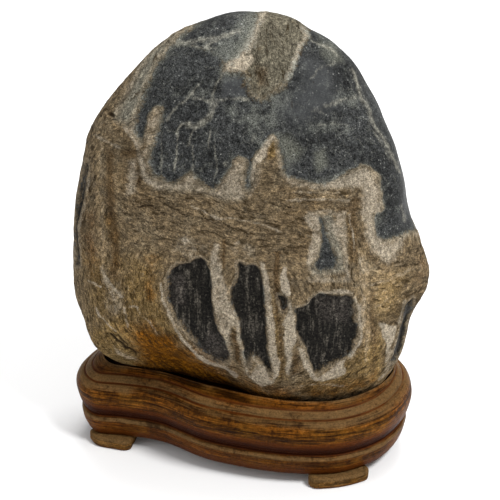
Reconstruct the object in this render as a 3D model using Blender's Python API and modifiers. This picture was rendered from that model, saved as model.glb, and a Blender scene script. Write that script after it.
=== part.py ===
"""Scholars rock resting in its carved wooden stand.

The rock is one water-worn boulder: a brown crust stands proud of a dark slate hood and of
four sunk slate windows. It rests, unfixed, on the floor of a recess in a bean-shaped moulded
stand, which has four separate slab feet glued underneath.

Run with: blender --background --python part.py
Lengths below are millimetres unless a name says otherwise. +Z is up and -Y is the front.
"""

import math

import bmesh
import bpy
import numpy as np

MM = 0.001
OBJECT_NAME = "scholars_rock"
GAP = 0.3                        # air between pieces that touch

# The rock's own axis, measured from the middle of the whole object's box.
AXIS_X = 0.6
AXIS_Y = 10.65

# ---------------------------------------------------------------- rock: main form
BED_Z = 31.0                     # the flat that the rock rests on
TOP_Z = 215.6
ROCK_SUBDIVISIONS = 5

# Reach from the axis and height, from the bed to the top, on each of four sides.
LEFT_SIDE = [(0, BED_Z), (42.5, 31.3), (60, 35.5), (72.4, 48.3), (82.4, 75),
             (81.2, 113), (73, 153), (54.9, 184), (29.5, 206), (0, TOP_Z)]
RIGHT_SIDE = [(0, BED_Z), (42, 31.5), (60.5, 37), (70.4, 56), (76.5, 91),
              (72.8, 126), (65, 157), (51.5, 184), (29, 206), (0, TOP_Z)]
FRONT_SIDE = [(0, BED_Z), (18, 31.5), (27, 36), (34, 50), (42, 80),
              (42, 114), (38, 150), (29, 182), (16, 206), (0, TOP_Z)]
BACK_SIDE = [(0, BED_Z), (20, 31.5), (27, 36), (34, 50), (43, 80),
             (44, 114), (39, 150), (29, 182), (16, 206), (0, TOP_Z)]
# By height: how square the plan is, how far it is skewed, and how far it leans forward.
SQUARENESS = [(31, 2.4), (80, 2.4), (150, 2.25), (TOP_Z, 2.0)]
SKEW = [(31, -0.12), (80, -0.10), (150, -0.06), (TOP_Z, 0.0)]
LEAN = [(31, -14), (60, -12), (110, -8), (160, -5), (TOP_Z, -2)]

# Swellings and hollows: place on the rock, radius, and push outwards.
HEART = (0, 0, 105)              # they push away from this point
LUMPS = {
    "right_shoulder": ((80, -18, 91), 17, 6.6),
    "hollow_under_shoulder": ((76, -22, 66), 14, -1.4),
    "front_left_undercut": ((-50, -37, 36), 24, -17.0),
    "front_undercut": ((-15, -46, 37), 20, -12.0),
    "toe": ((-67, -24, 52), 12, 4.2),
    "left_brow": ((-66, -8, 164), 15, 1.2),
    "back_boss": ((-22, 40, 92), 34, 3.0),
    "back_hollow": ((34, 38, 128), 30, -3.5),
}

# Gentle waves over the whole surface: wavelength, height, direction and phase.
WAVES = [
    (58, 0.55, (1.0, 0.3, 0.6), 0.4), (47, 0.50, (-0.5, 0.8, 0.7), 2.1),
    (31, 0.30, (0.8, -0.4, 0.5), 1.2), (26, 0.28, (0.2, 0.9, -0.6), 4.0),
    (19, 0.18, (-0.7, 0.2, 0.8), 3.3),
]

# ---------------------------------------------------------------- rock: crust, windows, crevice
CRUST_PROUD = 1.5                # how far the brown crust stands above the slate
EDGE_SOFT = 4.0                  # width of the slope between the two
# Lower edge of the slate hood round the rock: angle from +X towards the back, and height.
HOOD_EDGE = [(0, 112), (18, 138), (45, 126), (75, 141), (105, 122), (135, 137), (165, 150),
             (188, 176), (205, 196), (216, 172), (232, 153), (250, 151), (262, 150),
             (279, 172), (290, 153), (310, 152), (322, 150), (327, 121), (345, 116)]
# Sunk slate windows on the front: middle (x, z), half width, half height, lean to the right.
WINDOWS = {
    "left": ((-23, 89), 10.5, 27, -0.22),
    "middle": ((1.5, 87), 7.0, 28, -0.20),
    "right": ((34, 77), 12.5, 19, 0.05),
    "little": ((35, 119), 4.5, 11, -0.25),
}
WINDOW_DEPTH = 2.0
CREVICE = [(-69, 70), (-62, 62), (-54, 53), (-47, 44)]     # (x, z), over the toe
CREVICE_WIDTH = 3.2
CREVICE_DEPTH = 1.6

# ---------------------------------------------------------------- stand
# Widest outline of the moulding and the lip of the recess, point by point round the stand,
# counter-clockwise from the right end.
RIM = [
    ((77.3, -14), (68, -15)), ((73, 3), (64, -3)), ((59, 19), (51, 9)),
    ((36, 28.5), (30, 17.5)), ((10, 31), (6, 21.5)), ((-18, 30.5), (-18, 22.5)),
    ((-47, 29), (-46, 20)), ((-69, 21), (-61.5, 13.5)), ((-81, 4), (-70, 2.5)),
    ((-83, -12), (-69.5, -6.5)), ((-76, -24), (-65.5, -12.8)), ((-60, -27.5), (-56.5, -15.8)),
    ((-43, -33), (-41.5, -20.5)), ((-24, -46.5), (-23, -31)), ((-3, -55), (-2, -40.5)),
    ((20, -60), (18, -47)), ((43, -59), (39, -47.5)), ((62.5, -48), (55.5, -38.8)),
    ((74, -31), (65.5, -26.5)),
]
RIM_STEPS = 72
FOOT_TOP = 5.5
BASE_Z = FOOT_TOP + GAP
# Moulding, from the underside to the foot of the lip: inset from the widest outline, height.
LOWER_BAND = [(5.5, BASE_Z), (4.6, 7.2), (3.2, 10.7), (2.6, 13.2), (2.3, 15.4), (2.8, 16.8)]
COVE = [(3.8, 17.2), (3.7, 18.2)]
TORUS = [(2.7, 19.2), (1.5, 21.8), (0.4, 26), (0, 29.5), (0.8, 32.5), (2.3, 34.6), (4.1, 35.6)]
STEP = [(4.6, 35.8), (5.2, 36.8), (7.6, 38.6), (8.1, 38.9)]
LIP_Z = 41.2
LIP_ROUND = 0.8
FLOOR_Z = BED_Z - GAP
FLOOR_INSET = 2.6
# The top of the stand falls a little towards its left end: height, drop at each end.
TOP_FALL = [(0, 0), (30, 0), (34, 0.4), (42, 0.7)]
FALL_REACH = 80

# Feet: from and to (place along RIM), inset of the outer face at each end, and depth of the
# slab. The inner face is straight.
FEET = {
    "foot_front_left": (9.25, 11.15, 4.6, -0.6, 13),
    "foot_front_right": (15.3, 16.75, 0.9, 1.2, 15),
    "foot_back_right": (1.55, 2.85, 2.2, 2.2, 14),
    "foot_back_left": (6.35, 7.6, 2.6, 2.6, 13),
}
FOOT_STEPS = 13
FOOT_CORNER = 3.0                # how far the outer face turns in at its ends
FOOT_STRAIGHT = 0.75             # share of the outer face that keeps to the outline
FOOT_ROUND = 0.9


# ---------------------------------------------------------------- curves
def open_spline(points, v):
    """Catmull-Rom curve at v from 0 to 1; both ends are mirrored across the axis."""
    p = np.array(points, float)
    p = np.vstack([p[1] * (-1, 1), p, p[-2] * (-1, 1)])
    s = np.clip(v, 0, 1) * (len(points) - 1)
    i = np.minimum(s.astype(int), len(points) - 2)
    return catmull_rom(p[i], p[i + 1], p[i + 2], p[i + 3], (s - i)[..., None])


def closed_spline(points, s):
    """Closed Catmull-Rom curve at s, which counts points and may be a fraction."""
    p = np.array(points, float)
    n = len(p)
    s = np.atleast_1d(np.asarray(s, float))
    i = np.floor(s).astype(int)
    return catmull_rom(p[(i - 1) % n], p[i % n], p[(i + 1) % n], p[(i + 2) % n], (s - i)[:, None])


def catmull_rom(a, b, c, d, f):
    """The curve between b and c, at the fraction f."""
    return 0.5 * (2 * b + (c - a) * f + (2 * a - 5 * b + 4 * c - d) * f ** 2
                  + (3 * b - a - 3 * c + d) * f ** 3)


def by_height(z, table):
    """Value of a (height, value) table at z."""
    return np.interp(z, *np.array(table, float).T)


def smooth_step(t):
    """0 below 0, 1 above 1, with level ends."""
    t = np.clip(t, 0, 1)
    return t * t * (3 - 2 * t)


# ---------------------------------------------------------------- rock
def rock_form(theta, v):
    """Points of the plain boulder.

    A superellipse in plan whose reach on each side follows that side's profile, so that
    x = reach(v) |cos|^(2/n) and y = reach(v) |sin|^(2/n), then skewed, leant and lumped.
    """
    left, right, front, back = (open_spline(side, v)
                                for side in (LEFT_SIDE, RIGHT_SIDE, FRONT_SIDE, BACK_SIDE))
    c, s = np.cos(theta), np.sin(theta)
    side = np.where((c >= 0)[..., None], right, left)
    end = np.where((s >= 0)[..., None], back, front)
    z = side[..., 1] * c * c + end[..., 1] * s * s
    power = 2 / by_height(z, SQUARENESS)
    x = side[..., 0] * np.sign(c) * np.abs(c) ** power
    y = end[..., 0] * np.sign(s) * np.abs(s) ** power
    y = y + by_height(z, SKEW) * x + by_height(z, LEAN)
    p = np.stack([x, y, z], -1)
    for place, radius, push in LUMPS.values():
        near = np.exp(-((p - place) ** 2).sum(-1) / radius ** 2)
        p = p + outwards(p) * (push * near)[..., None]
    return p


def outwards(p):
    """Unit direction from the rock's heart, flattened so that it is mostly level."""
    d = (p - HEART) * (1, 1, 0.5)
    return d / (np.linalg.norm(d, axis=-1, keepdims=True) + 1e-9)


def rock_relief(p):
    """How far each point stands above or below the plain boulder."""
    height = np.zeros(p.shape[:-1])
    for length, rise, direction, phase in WAVES:
        d = np.array(direction) / np.linalg.norm(direction)
        height += rise * np.sin(2 * math.pi / length * (p @ d) + phase)
    angle = np.degrees(np.arctan2(p[..., 1] - by_height(p[..., 2], LEAN), p[..., 0])) % 360
    edge = np.array(HOOD_EDGE + [(360, HOOD_EDGE[0][1])], float)
    slate = smooth_step((p[..., 2] - np.interp(angle, *edge.T)) / EDGE_SOFT + 0.5)
    height -= CRUST_PROUD * slate
    front = p[..., 1] < by_height(p[..., 2], LEAN)
    for (wx, wz), half_width, half_height, lean in WINDOWS.values():
        dz = (p[..., 2] - wz) / half_height
        dx = (p[..., 0] - wx - lean * (p[..., 2] - wz)) / half_width
        inside = smooth_step((1.25 - np.sqrt(dx ** 2 + dz ** 4)) / 0.45)
        height -= WINDOW_DEPTH * inside * front
    away = distance_to_line(p[..., [0, 2]], np.array(CREVICE, float))
    height -= CREVICE_DEPTH * np.exp(-(away / CREVICE_WIDTH) ** 2) * front
    return height


def distance_to_line(q, line):
    """Shortest distance from each 2-D point to a chain of straight runs."""
    best = np.full(q.shape[:-1], np.inf)
    for a, b in zip(line[:-1], line[1:]):
        along = b - a
        t = np.clip(((q - a) @ along) / (along @ along), 0, 1)
        best = np.minimum(best, np.linalg.norm(q - a - t[..., None] * along, axis=-1))
    return best


def make_rock():
    """The boulder, from an icosphere whose points are carried to the rock's surface."""
    bm = bmesh.new()
    bmesh.ops.create_icosphere(bm, subdivisions=ROCK_SUBDIVISIONS, radius=1)
    ball = np.array([vertex.co for vertex in bm.verts])
    theta = np.arctan2(ball[:, 1], ball[:, 0])
    v = np.arccos(np.clip(-ball[:, 2], -1, 1)) / math.pi
    p = rock_form(theta, v)
    bedded = smooth_step((p[:, 2] - BED_Z) / 12)
    p = p + outwards(p) * (rock_relief(p) * bedded)[:, None]
    p[:, 2] = np.maximum(p[:, 2], BED_Z)
    for vertex, place in zip(bm.verts, (p + (AXIS_X, AXIS_Y, 0)) * MM):
        vertex.co = place
    return finish_piece("rock", bm, crust_material())


# ---------------------------------------------------------------- stand
def rim_frames(s):
    """Outline points, outward normals and lip points at the places s along RIM."""
    outline = [pair[0] for pair in RIM]
    q = closed_spline(outline, s)
    tangent = closed_spline(outline, s + 0.01) - closed_spline(outline, s - 0.01)
    tangent /= np.linalg.norm(tangent, axis=1, keepdims=True)
    return q, np.column_stack([tangent[:, 1], -tangent[:, 0]])


def fallen(q, z):
    """Level ring at z, tipped by the fall of the stand's top."""
    drop = by_height(z, TOP_FALL) * np.clip(-q[:, 0] / FALL_REACH, -1, 1)
    return np.column_stack([q, z - drop])


def stand_rings():
    """Closed rings of the stand, from the middle of the underside to the recess floor."""
    s = np.arange(RIM_STEPS) * len(RIM) / RIM_STEPS
    q, normal = rim_frames(s)
    rings = [fallen(q - normal * inset, z) for inset, z in LOWER_BAND + COVE + TORUS + STEP]
    lip = closed_spline([pair[1] for pair in RIM], s)
    ahead = np.roll(lip, -1, 0) - np.roll(lip, 1, 0)
    ahead /= np.linalg.norm(ahead, axis=1, keepdims=True)
    lip_normal = np.column_stack([ahead[:, 1], -ahead[:, 0]])
    shoulder = LIP_Z - LIP_ROUND / 2
    for outset, z in ((LIP_ROUND, shoulder), (LIP_ROUND / 2, LIP_Z), (0, shoulder)):
        rings.append(fallen(lip + lip_normal * outset, z))
    floor = lip - lip_normal * FLOOR_INSET
    rings.append(np.column_stack([floor, np.full(RIM_STEPS, FLOOR_Z)]))
    return rings


def loft(rings):
    """Closed body through the rings, with a flat cap on each end."""
    bm = bmesh.new()
    rows = [[bm.verts.new(place) for place in (ring + (AXIS_X, AXIS_Y, 0)) * MM] for ring in rings]
    for lower, upper in zip(rows[:-1], rows[1:]):
        for i, corner in enumerate(lower):
            j = (i + 1) % len(lower)
            bm.faces.new((corner, lower[j], upper[j], upper[i]))
    bm.faces.new(list(reversed(rows[0])))
    bm.faces.new(rows[-1])
    return bm


def make_stand():
    """The moulded, recessed body of the stand."""
    return finish_piece("stand_body", loft(stand_rings()), wood_material("stand_wood", 0.11, 0.06, 0.026))


def make_foot(name):
    """A slab under the rim, its outer face following the outline."""
    start, end, start_inset, end_inset, depth = FEET[name]
    q, normal = rim_frames(np.linspace(start, end, FOOT_STEPS))
    from_middle = np.abs(np.linspace(-1, 1, FOOT_STEPS))[:, None]
    turn_in = FOOT_CORNER * np.clip((from_middle - FOOT_STRAIGHT) / (1 - FOOT_STRAIGHT), 0, 1) ** 2
    inset = np.linspace(start_inset, end_inset, FOOT_STEPS)[:, None]
    outer = q - normal * (inset + turn_in)
    inner = (q - normal * (inset + depth))[[-1, 0]]
    plan = np.vstack([outer, inner])
    rings = [np.column_stack([plan, np.full(len(plan), z)]) for z in (0, FOOT_TOP)]
    foot = finish_piece(name, loft(rings), wood_material("foot_wood", 0.20, 0.125, 0.06))
    bevel = foot.modifiers.new("eased edges", "BEVEL")
    bevel.width = FOOT_ROUND * MM
    bevel.segments = 2
    bevel.limit_method = "ANGLE"
    bevel.angle_limit = math.radians(40)
    return foot


# ---------------------------------------------------------------- materials and scene
def plain_material(name, colour, roughness):
    """A Principled material, made once and shared."""
    material = bpy.data.materials.get(name) or bpy.data.materials.new(name)
    material.use_nodes = True
    shader = material.node_tree.nodes["Principled BSDF"]
    shader.inputs["Base Color"].default_value = (*colour, 1)
    shader.inputs["Roughness"].default_value = roughness
    shader.inputs["Metallic"].default_value = 0
    return material


def crust_material():
    """Brown, matt stone crust."""
    return plain_material("rock_stone", (0.14, 0.105, 0.068), 0.8)


def wood_material(name, red, green, blue):
    """Old waxed hardwood."""
    return plain_material(name, (red, green, blue), 0.5)


def finish_piece(name, bm, material):
    """Turn a bmesh into a named object in the object's collection."""
    bmesh.ops.recalc_face_normals(bm, faces=bm.faces)
    mesh = bpy.data.meshes.new(name)
    bm.to_mesh(mesh)
    bm.free()
    mesh.materials.append(material)
    mesh.shade_smooth()
    mesh.set_sharp_from_angle(angle=math.radians(35))
    piece = bpy.data.objects.new(name, mesh)
    bpy.data.collections[OBJECT_NAME].objects.link(piece)
    return piece


def main():
    """Clear the scene and build every piece."""
    for old in list(bpy.data.objects):
        bpy.data.objects.remove(old, do_unlink=True)
    collection = bpy.data.collections.new(OBJECT_NAME)
    bpy.context.scene.collection.children.link(collection)
    make_rock()
    make_stand()
    for name in FEET:
        make_foot(name)


main()
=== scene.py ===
"""A scholar's rock in its carved wooden stand: surfaces, finishes, floor, light and camera.

The stone is one two-parameter surface. Its markings are drawn on a sheet that is laid
over the stone's face, and wrap on round the back. The stand is a moulding carried round a rim,
and its four feet are eased slabs.
Lengths in the outlines are millimetres, and the sheet has units of its own.
"""

import itertools
import math

import bpy
import numpy as np
from bpy.props import FloatProperty, FloatVectorProperty, IntProperty, PointerProperty
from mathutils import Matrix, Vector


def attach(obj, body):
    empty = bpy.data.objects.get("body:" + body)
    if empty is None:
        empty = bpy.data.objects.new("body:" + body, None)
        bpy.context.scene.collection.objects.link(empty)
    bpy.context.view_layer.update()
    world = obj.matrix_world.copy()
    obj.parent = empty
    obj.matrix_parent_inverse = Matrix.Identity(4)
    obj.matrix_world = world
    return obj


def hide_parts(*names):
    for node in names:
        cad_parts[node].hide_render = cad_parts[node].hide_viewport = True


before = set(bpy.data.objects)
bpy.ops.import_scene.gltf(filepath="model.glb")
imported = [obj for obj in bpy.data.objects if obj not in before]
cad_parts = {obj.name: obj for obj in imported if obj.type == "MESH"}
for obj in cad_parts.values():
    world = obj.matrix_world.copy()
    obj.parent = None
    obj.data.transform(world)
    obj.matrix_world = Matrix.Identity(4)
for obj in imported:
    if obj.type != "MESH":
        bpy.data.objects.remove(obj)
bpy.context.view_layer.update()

bl_info = {
    "name": "Scholar's Rock",
    "version": (1, 0, 0),
    "blender": (4, 5, 0),
    "location": "View3D > Sidebar > Rock",
    "description": "Makes a marked scholar's rock, its wooden stand and a plain studio",
    "category": "Add Mesh",
}

MM = 0.001
TURN = 2 * math.pi

# ---------------------------------------------------------------- form, as the solids have it
AXIS = np.array([0.6, 10.65, 0.0])       # the stone's own axis, from the middle of the whole
BED_Z = 31.0
TOP_Z = 215.6

# Reach from the axis and height, from the bed to the top, on each of four sides.
LEFT_SIDE = [(0, BED_Z), (42.5, 31.3), (60, 35.5), (72.4, 48.3), (82.4, 75),
             (81.2, 113), (73, 153), (54.9, 184), (29.5, 206), (0, TOP_Z)]
RIGHT_SIDE = [(0, BED_Z), (42, 31.5), (60.5, 37), (70.4, 56), (76.5, 91),
              (72.8, 126), (65, 157), (51.5, 184), (29, 206), (0, TOP_Z)]
FRONT_SIDE = [(0, BED_Z), (18, 31.5), (27, 36), (34, 50), (42, 80),
              (42, 114), (38, 150), (29, 182), (16, 206), (0, TOP_Z)]
BACK_SIDE = [(0, BED_Z), (20, 31.5), (27, 36), (34, 50), (43, 80),
             (44, 114), (39, 150), (29, 182), (16, 206), (0, TOP_Z)]
SQUARENESS = [(31, 2.4), (80, 2.4), (150, 2.25), (TOP_Z, 2.0)]
SKEW = [(31, -0.12), (80, -0.10), (150, -0.06), (TOP_Z, 0.0)]
LEAN = [(31, -14), (60, -12), (110, -8), (160, -5), (TOP_Z, -2)]
HEART = (0, 0, 105)
# Swellings and hollows: place, radius and push outwards.
LUMPS = {
    "right_shoulder": ((80, -18, 91), 17, 6.6),
    "hollow_under_shoulder": ((76, -22, 66), 14, -1.4),
    "front_left_undercut": ((-50, -37, 36), 24, -17.0),
    "front_undercut": ((-15, -46, 37), 20, -12.0),
    "toe": ((-67, -24, 52), 12, 4.2),
    "left_brow": ((-66, -8, 164), 15, 1.2),
    "left_cheek": ((-74, -2, 154), 11, 1.3),
    "left_flank": ((-82, -2, 114), 14, 1.2),
    "left_hip": ((-76, -4, 60), 15, -0.9),
    "left_crown": ((-44, -3, 197), 12, -1.0),
    "right_crown": ((43, -4, 200), 12, 1.4),
    "right_temple": ((58, -6, 181), 12, -1.4),
    "right_cheek": ((72, -12, 131), 10, -1.1),
    "right_flank": ((76, -15, 103), 12, 1.3),
    "right_hip": ((72, -20, 58), 14, 1.1),
    "back_boss": ((-22, 40, 92), 34, 3.0),
    "back_hollow": ((34, 38, 128), 30, -3.5),
}
# Gentle waves over the whole surface: wavelength, height, direction and phase.
WAVES = [
    (58, 0.55, (1.0, 0.3, 0.6), 0.4), (47, 0.50, (-0.5, 0.8, 0.7), 2.1),
    (31, 0.30, (0.8, -0.4, 0.5), 1.2), (26, 0.28, (0.2, 0.9, -0.6), 4.0),
    (19, 0.18, (-0.7, 0.2, 0.8), 3.3),
]

# ---------------------------------------------------------------- the sheet of markings
# A sheet 500 units square, which lies across the view from the scene's own camera, with its
# first unit left to right and its second from the top down.
SHEET = 500
SHEET_MIDDLE = SHEET / 2

# Slate shows inside these outlines: the hood, with its two lobes and horn, and the windows.
HOOD = [
    (173, 43), (184, 44), (198, 45), (206, 48), (212, 50), (218, 52), (222, 57), (221, 65), (220, 72),
    (232, 74), (243, 74), (247, 80), (250, 90), (256, 98), (264, 100), (272, 95), (280, 89), (284, 88),
    (287, 80), (291, 72), (294, 65), (298, 52), (303, 46), (310, 36), (306, 26), (310, 0), (480, 0),
    (480, 226), (415, 229), (408, 233), (402, 236), (394, 238), (390, 240), (386, 241), (381, 238),
    (379, 233), (377, 227), (376, 220), (377, 214), (382, 213), (385, 210), (384, 202), (383, 195),
    (381, 188), (380, 180), (378, 174), (374, 170), (370, 167), (366, 164), (362, 165), (358, 168),
    (352, 170), (346, 172), (341, 175), (336, 178), (330, 182), (326, 184), (322, 183), (312, 181),
    (300, 180), (293, 178), (288, 175), (284, 168), (282, 158), (281, 150), (280, 142), (277, 136),
    (274, 132), (270, 135), (265, 141), (261, 147), (257, 152), (254, 157), (252, 163), (251, 172),
    (251, 182), (249, 191), (246, 189), (245, 180), (247, 172), (248, 163), (244, 158), (238, 156),
    (232, 158), (231, 166), (228, 170), (224, 174), (221, 179), (217, 183), (215, 188), (211, 190),
    (206, 189), (202, 186), (199, 182), (196, 178), (193, 174), (190, 171), (184, 175), (179, 179),
    (175, 182), (170, 183), (165, 182), (160, 176), (155, 176), (152, 173), (149, 168), (148, 162),
    (149, 156), (151, 148), (155, 140), (158, 127), (160, 120), (161, 110), (160, 104), (157, 104),
    (150, 108), (147, 113), (145, 120), (143, 127), (141, 133), (140, 142), (135, 136), (132, 129),
    (131.5, 120), (134, 110), (139, 100), (143, 90), (148, 80), (153, 71), (158, 64), (163, 57),
    (168, 50),
]
DARK_CROWN = [
    (176, 42), (188, 31), (205, 18), (225, 9), (255, 4), (263, 8), (256, 28), (249, 42), (241, 53),
    (232, 60), (222, 60), (218, 53), (210, 50), (198, 47), (184, 45),
]
PANE = [
    (318, 216), (322, 219), (326, 228), (330, 238), (333, 247), (337, 256), (338, 269), (330, 270),
    (322, 272), (316, 269), (315, 263), (319, 256), (322, 248), (323, 240), (322, 230), (319, 222),
]
WINDOWS = {
    "left": [(200, 257), (204, 260), (209, 272), (210, 280), (211, 300), (213, 318), (217, 332),
        (220, 338), (224, 343), (227, 350), (229, 357), (228, 361), (222, 362), (215, 359), (208, 355),
        (200, 349), (196, 340), (190, 336), (184, 328), (177, 319), (172, 306), (169, 298), (167, 290),
        (168, 281), (170, 274), (174, 268), (178, 265), (190, 264), (194, 259)],
    "middle": [(239, 262), (244, 268), (252, 267), (257, 268), (260, 271), (262, 277), (264, 295),
        (266, 312), (267, 320), (267, 350), (269, 358), (271, 365), (272, 372), (270, 376), (265, 368),
        (261, 362), (256, 357), (253, 353), (251, 356), (250, 362), (248, 369), (244, 358), (241, 340),
        (239, 322), (234, 313), (231, 303), (231, 288), (234, 284), (237, 279), (238, 272)],
    "right": [(297, 310), (305, 307), (309, 304), (312, 300), (318, 294), (327, 293), (339, 297),
        (347, 295), (351, 297), (354, 301), (355, 315), (356, 322), (358, 330), (357, 337), (354, 343),
        (352, 350), (349, 354), (344, 357), (336, 364), (326, 366), (323, 368), (321, 373), (317, 375),
        (314, 371), (311, 360), (307, 348), (303, 342), (297, 332), (298, 322), (297, 315)],
    "slit": [(279, 297), (284, 297), (288, 301), (287, 308), (283, 311)],
    "edge": [(413, 298), (408, 304), (406, 312), (402, 325), (399, 338), (395, 350), (390, 362),
        (402, 352), (414, 322)],
    "left_edge": [(84, 160), (78, 200), (72, 262), (76, 266), (79, 250), (77, 230), (80, 212), (83, 192),
        (86, 170)],
}

# Areas: how soft the edge is, strength, outline.
PALE_AREAS = {
    "under_left_lobe": (5, 0.6, [(140, 150), (148, 148), (146, 162), (150, 174), (160, 180), (170, 186),
        (180, 183), (190, 174), (198, 184), (208, 192), (216, 189), (224, 176), (232, 162), (240, 158),
        (246, 165), (244, 182), (249, 196), (240, 201), (215, 196), (195, 192), (175, 190), (158, 189),
        (147, 182), (141, 172)]),
    "right_of_tongue": (4, 0.45, [(252, 176), (253, 164), (259, 155), (264, 148), (266, 160), (262, 178),
        (256, 192)]),
    "finger": (3, 0.45, [(141, 150), (142, 134), (148, 112), (158, 104), (159, 116), (156, 134),
        (150, 148)]),
    "under_arch": (4, 0.6, [(284, 180), (320, 184), (340, 178), (364, 166), (376, 176), (362, 188),
        (330, 190), (290, 187)]),
    "under_right_lobe": (6, 0.68, [(368, 170), (380, 184), (383, 210), (375, 216), (378, 236), (390, 242),
        (408, 234), (400, 258), (388, 266), (372, 252), (364, 236), (362, 205), (360, 184)]),
    "finger_foot": (5, 0.68, [(128, 160), (137, 160), (137, 194), (129, 194)]),
    "rib": (2.2, 0.6, [(213, 243), (219, 243), (222, 262), (224, 280), (230, 298), (232, 308), (238, 316),
        (241, 326), (232, 328), (230, 340), (231, 352), (233, 361), (229, 356), (224, 343), (218, 333),
        (214, 316), (211, 296), (210, 270)]),
    "rib_foot": (1.6, 0.72, [(236, 322), (240, 326), (242, 344), (246, 362), (250, 373), (258, 362),
        (266, 369), (270, 378), (275, 378), (271, 383), (262, 386), (253, 381), (246, 371), (240, 354),
        (237, 340)]),
    "middle_right": (1.6, 0.7, [(259, 262), (266, 262), (270, 280), (272, 300), (275, 325), (276, 345),
        (280, 362), (279, 376), (273, 382), (272, 370), (269, 356), (267, 330), (266, 308), (263, 285)]),
    "white_patch": (1.2, 1.0, [(284, 267), (287, 270), (289, 284), (291, 296), (286, 296), (281, 291),
        (280.5, 280)]),
    "whitish_column": (1.6, 0.75, [(287, 298), (292, 306), (296, 318), (297, 340), (292, 351), (290, 374),
        (286, 374), (285, 350), (283, 338), (285, 330), (281, 325), (286, 318), (289, 310)]),
    "house_left": (2, 0.6, [(302, 216), (312, 212), (318, 215), (320, 228), (322, 240), (320, 252),
        (314, 262), (308, 270), (306, 262), (308, 246), (312, 232), (306, 224)]),
    "house_right": (2, 0.55, [(336, 218), (340, 209), (348, 210), (349, 226), (350, 250), (351, 276),
        (347, 278), (345, 262), (341, 248), (335, 236), (331, 228)]),
    "house_sill": (1.6, 0.45, [(306, 274), (312, 277), (346, 275), (352, 278), (350, 283), (308, 283)]),
    "lower_rim": (1.6, 0.75, [(297, 346), (305, 350), (311, 364), (317, 377), (324, 374), (330, 368),
        (346, 358), (345, 374), (334, 380), (314, 381), (304, 368)]),
    "window_top": (1.2, 0.6, [(298, 306), (308, 302), (318, 291), (340, 288), (353, 292), (352, 295),
        (338, 293), (320, 295), (310, 305)]),
    "over_left_window": (6, 0.3, [(170, 252), (178, 236), (196, 232), (214, 240), (212, 258),
        (186, 263)]),
    "over_left_spots": (2, 0.6, [(178, 238), (186, 235), (190, 242), (184, 247)]),
    "over_middle_window": (6, 0.32, [(227, 244), (244, 240), (258, 244), (258, 262), (236, 262)]),
    "over_middle_spots": (1.6, 0.5, [(232, 243), (240, 240), (244, 243), (236, 246)]),
    "right_patch": (1.5, 1.0, [(378, 322), (396, 326), (393, 336), (389, 346), (386, 355), (384, 341),
        (380, 332)]),
    "right_patch_foot": (2, 0.5, [(386, 350), (392, 346), (390, 362), (386, 374), (382, 380),
        (384, 364)]),
    "toe_lip": (2, 0.5, [(112, 342), (118, 348), (126, 353), (136, 357), (138, 361), (128, 361),
        (116, 353)]),
    "left_patch": (5, 0.35, [(103, 286), (124, 286), (126, 312), (112, 318), (102, 306)]),
    "left_rim": (3, 0.32, [(157, 280), (166, 280), (170, 300), (177, 318), (168, 316), (160, 300)]),
    "mottled": (1.6, 0.5, [(214, 106), (216, 112), (212, 119), (206, 124), (198, 128), (191, 130),
        (190, 126), (195, 121), (204, 116)]),
    "mottled_spot": (2, 0.6, [(183, 121), (190, 121), (194, 127), (187, 128)]),
    "shoulder_patch": (4, 0.35, [(310, 108), (325, 106), (326, 114), (312, 115)]),
    "saddle_end": (2.4, 0.9, [(226, 62), (240, 54), (252, 52), (254, 60), (248, 68), (232, 72),
        (225, 70)]),
    "lobe_step": (3, 0.5, [(142, 166), (150, 176), (162, 182), (176, 182), (186, 176), (196, 184),
        (208, 190), (204, 195), (180, 189), (158, 190), (146, 182)]),
    "horn_patch": (1.4, 0.9, [(262, 150), (266, 152), (264, 160), (258, 164), (256, 158)]),
}
SADDLE = [
    (262, 8), (305, 12), (308, 32), (300, 48), (293, 64), (287, 80), (270, 92), (262, 98), (252, 90),
    (247, 70), (244, 52), (252, 34),
]
OLIVE_AREAS = {
    "saddle": (3, 1.0, SADDLE),
    "crown_film": (7, 0.62, [(204, 44), (226, 30), (238, 12), (262, 8), (252, 34), (243, 54), (230, 60),
        (216, 52)]),
    "grey_patch": (5, 0.3, [(221, 73), (243, 74), (246, 98), (222, 100), (218, 86)]),
    "mottled_patch": (7, 0.32, [(184, 74), (214, 72), (216, 98), (186, 96)]),
    "middle_right_film": (9, 0.4, [(262, 96), (300, 84), (306, 112), (270, 122)]),
    "middle_film": (14, 0.5, [(225, 104), (286, 100), (292, 128), (262, 140), (240, 132)]),
    "shoulder_film": (6, 0.45, [(300, 112), (330, 118), (352, 120), (352, 130), (318, 132), (300, 124)]),
    "top_right_film": (6, 0.4, [(340, 92), (360, 94), (366, 104), (352, 106), (338, 100)]),
}
SAGE_AREAS = {
    "margin": (5, 0.95, [(178, 34), (152, 54), (136, 76), (121, 100), (113, 118), (126, 126), (134, 110),
        (144, 88), (156, 66), (170, 46)]),
    "house_inside": (2.5, 0.8, [(321, 216), (331, 214), (336, 226), (344, 250), (347, 272), (312, 275),
        (310, 268), (318, 258), (324, 244), (322, 228)]),
    "horn_side": (5, 0.75, [(278, 134), (292, 136), (304, 148), (298, 160), (287, 168), (281, 150)]),
    "green_patch": (3, 0.7, [(316, 152), (326, 148), (330, 166), (320, 172), (315, 162)]),
    "shoulder_patch": (5, 0.7, [(320, 42), (336, 46), (342, 58), (332, 64), (322, 54)]),
    "saddle_left": (6, 0.8, [(262, 8), (256, 30), (246, 50), (234, 62), (222, 68), (232, 50), (244, 30),
        (250, 10)]),
    "under_arch": (4, 0.5, [(300, 182), (340, 178), (364, 166), (372, 176), (340, 186)]),
    "under_left_lobe": (5, 0.45, [(150, 178), (180, 184), (214, 192), (246, 196), (236, 201), (190, 192),
        (155, 188)]),
    "lobe_side": (4, 0.5, [(378, 206), (384, 214), (378, 236), (370, 222)]),
}
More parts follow.
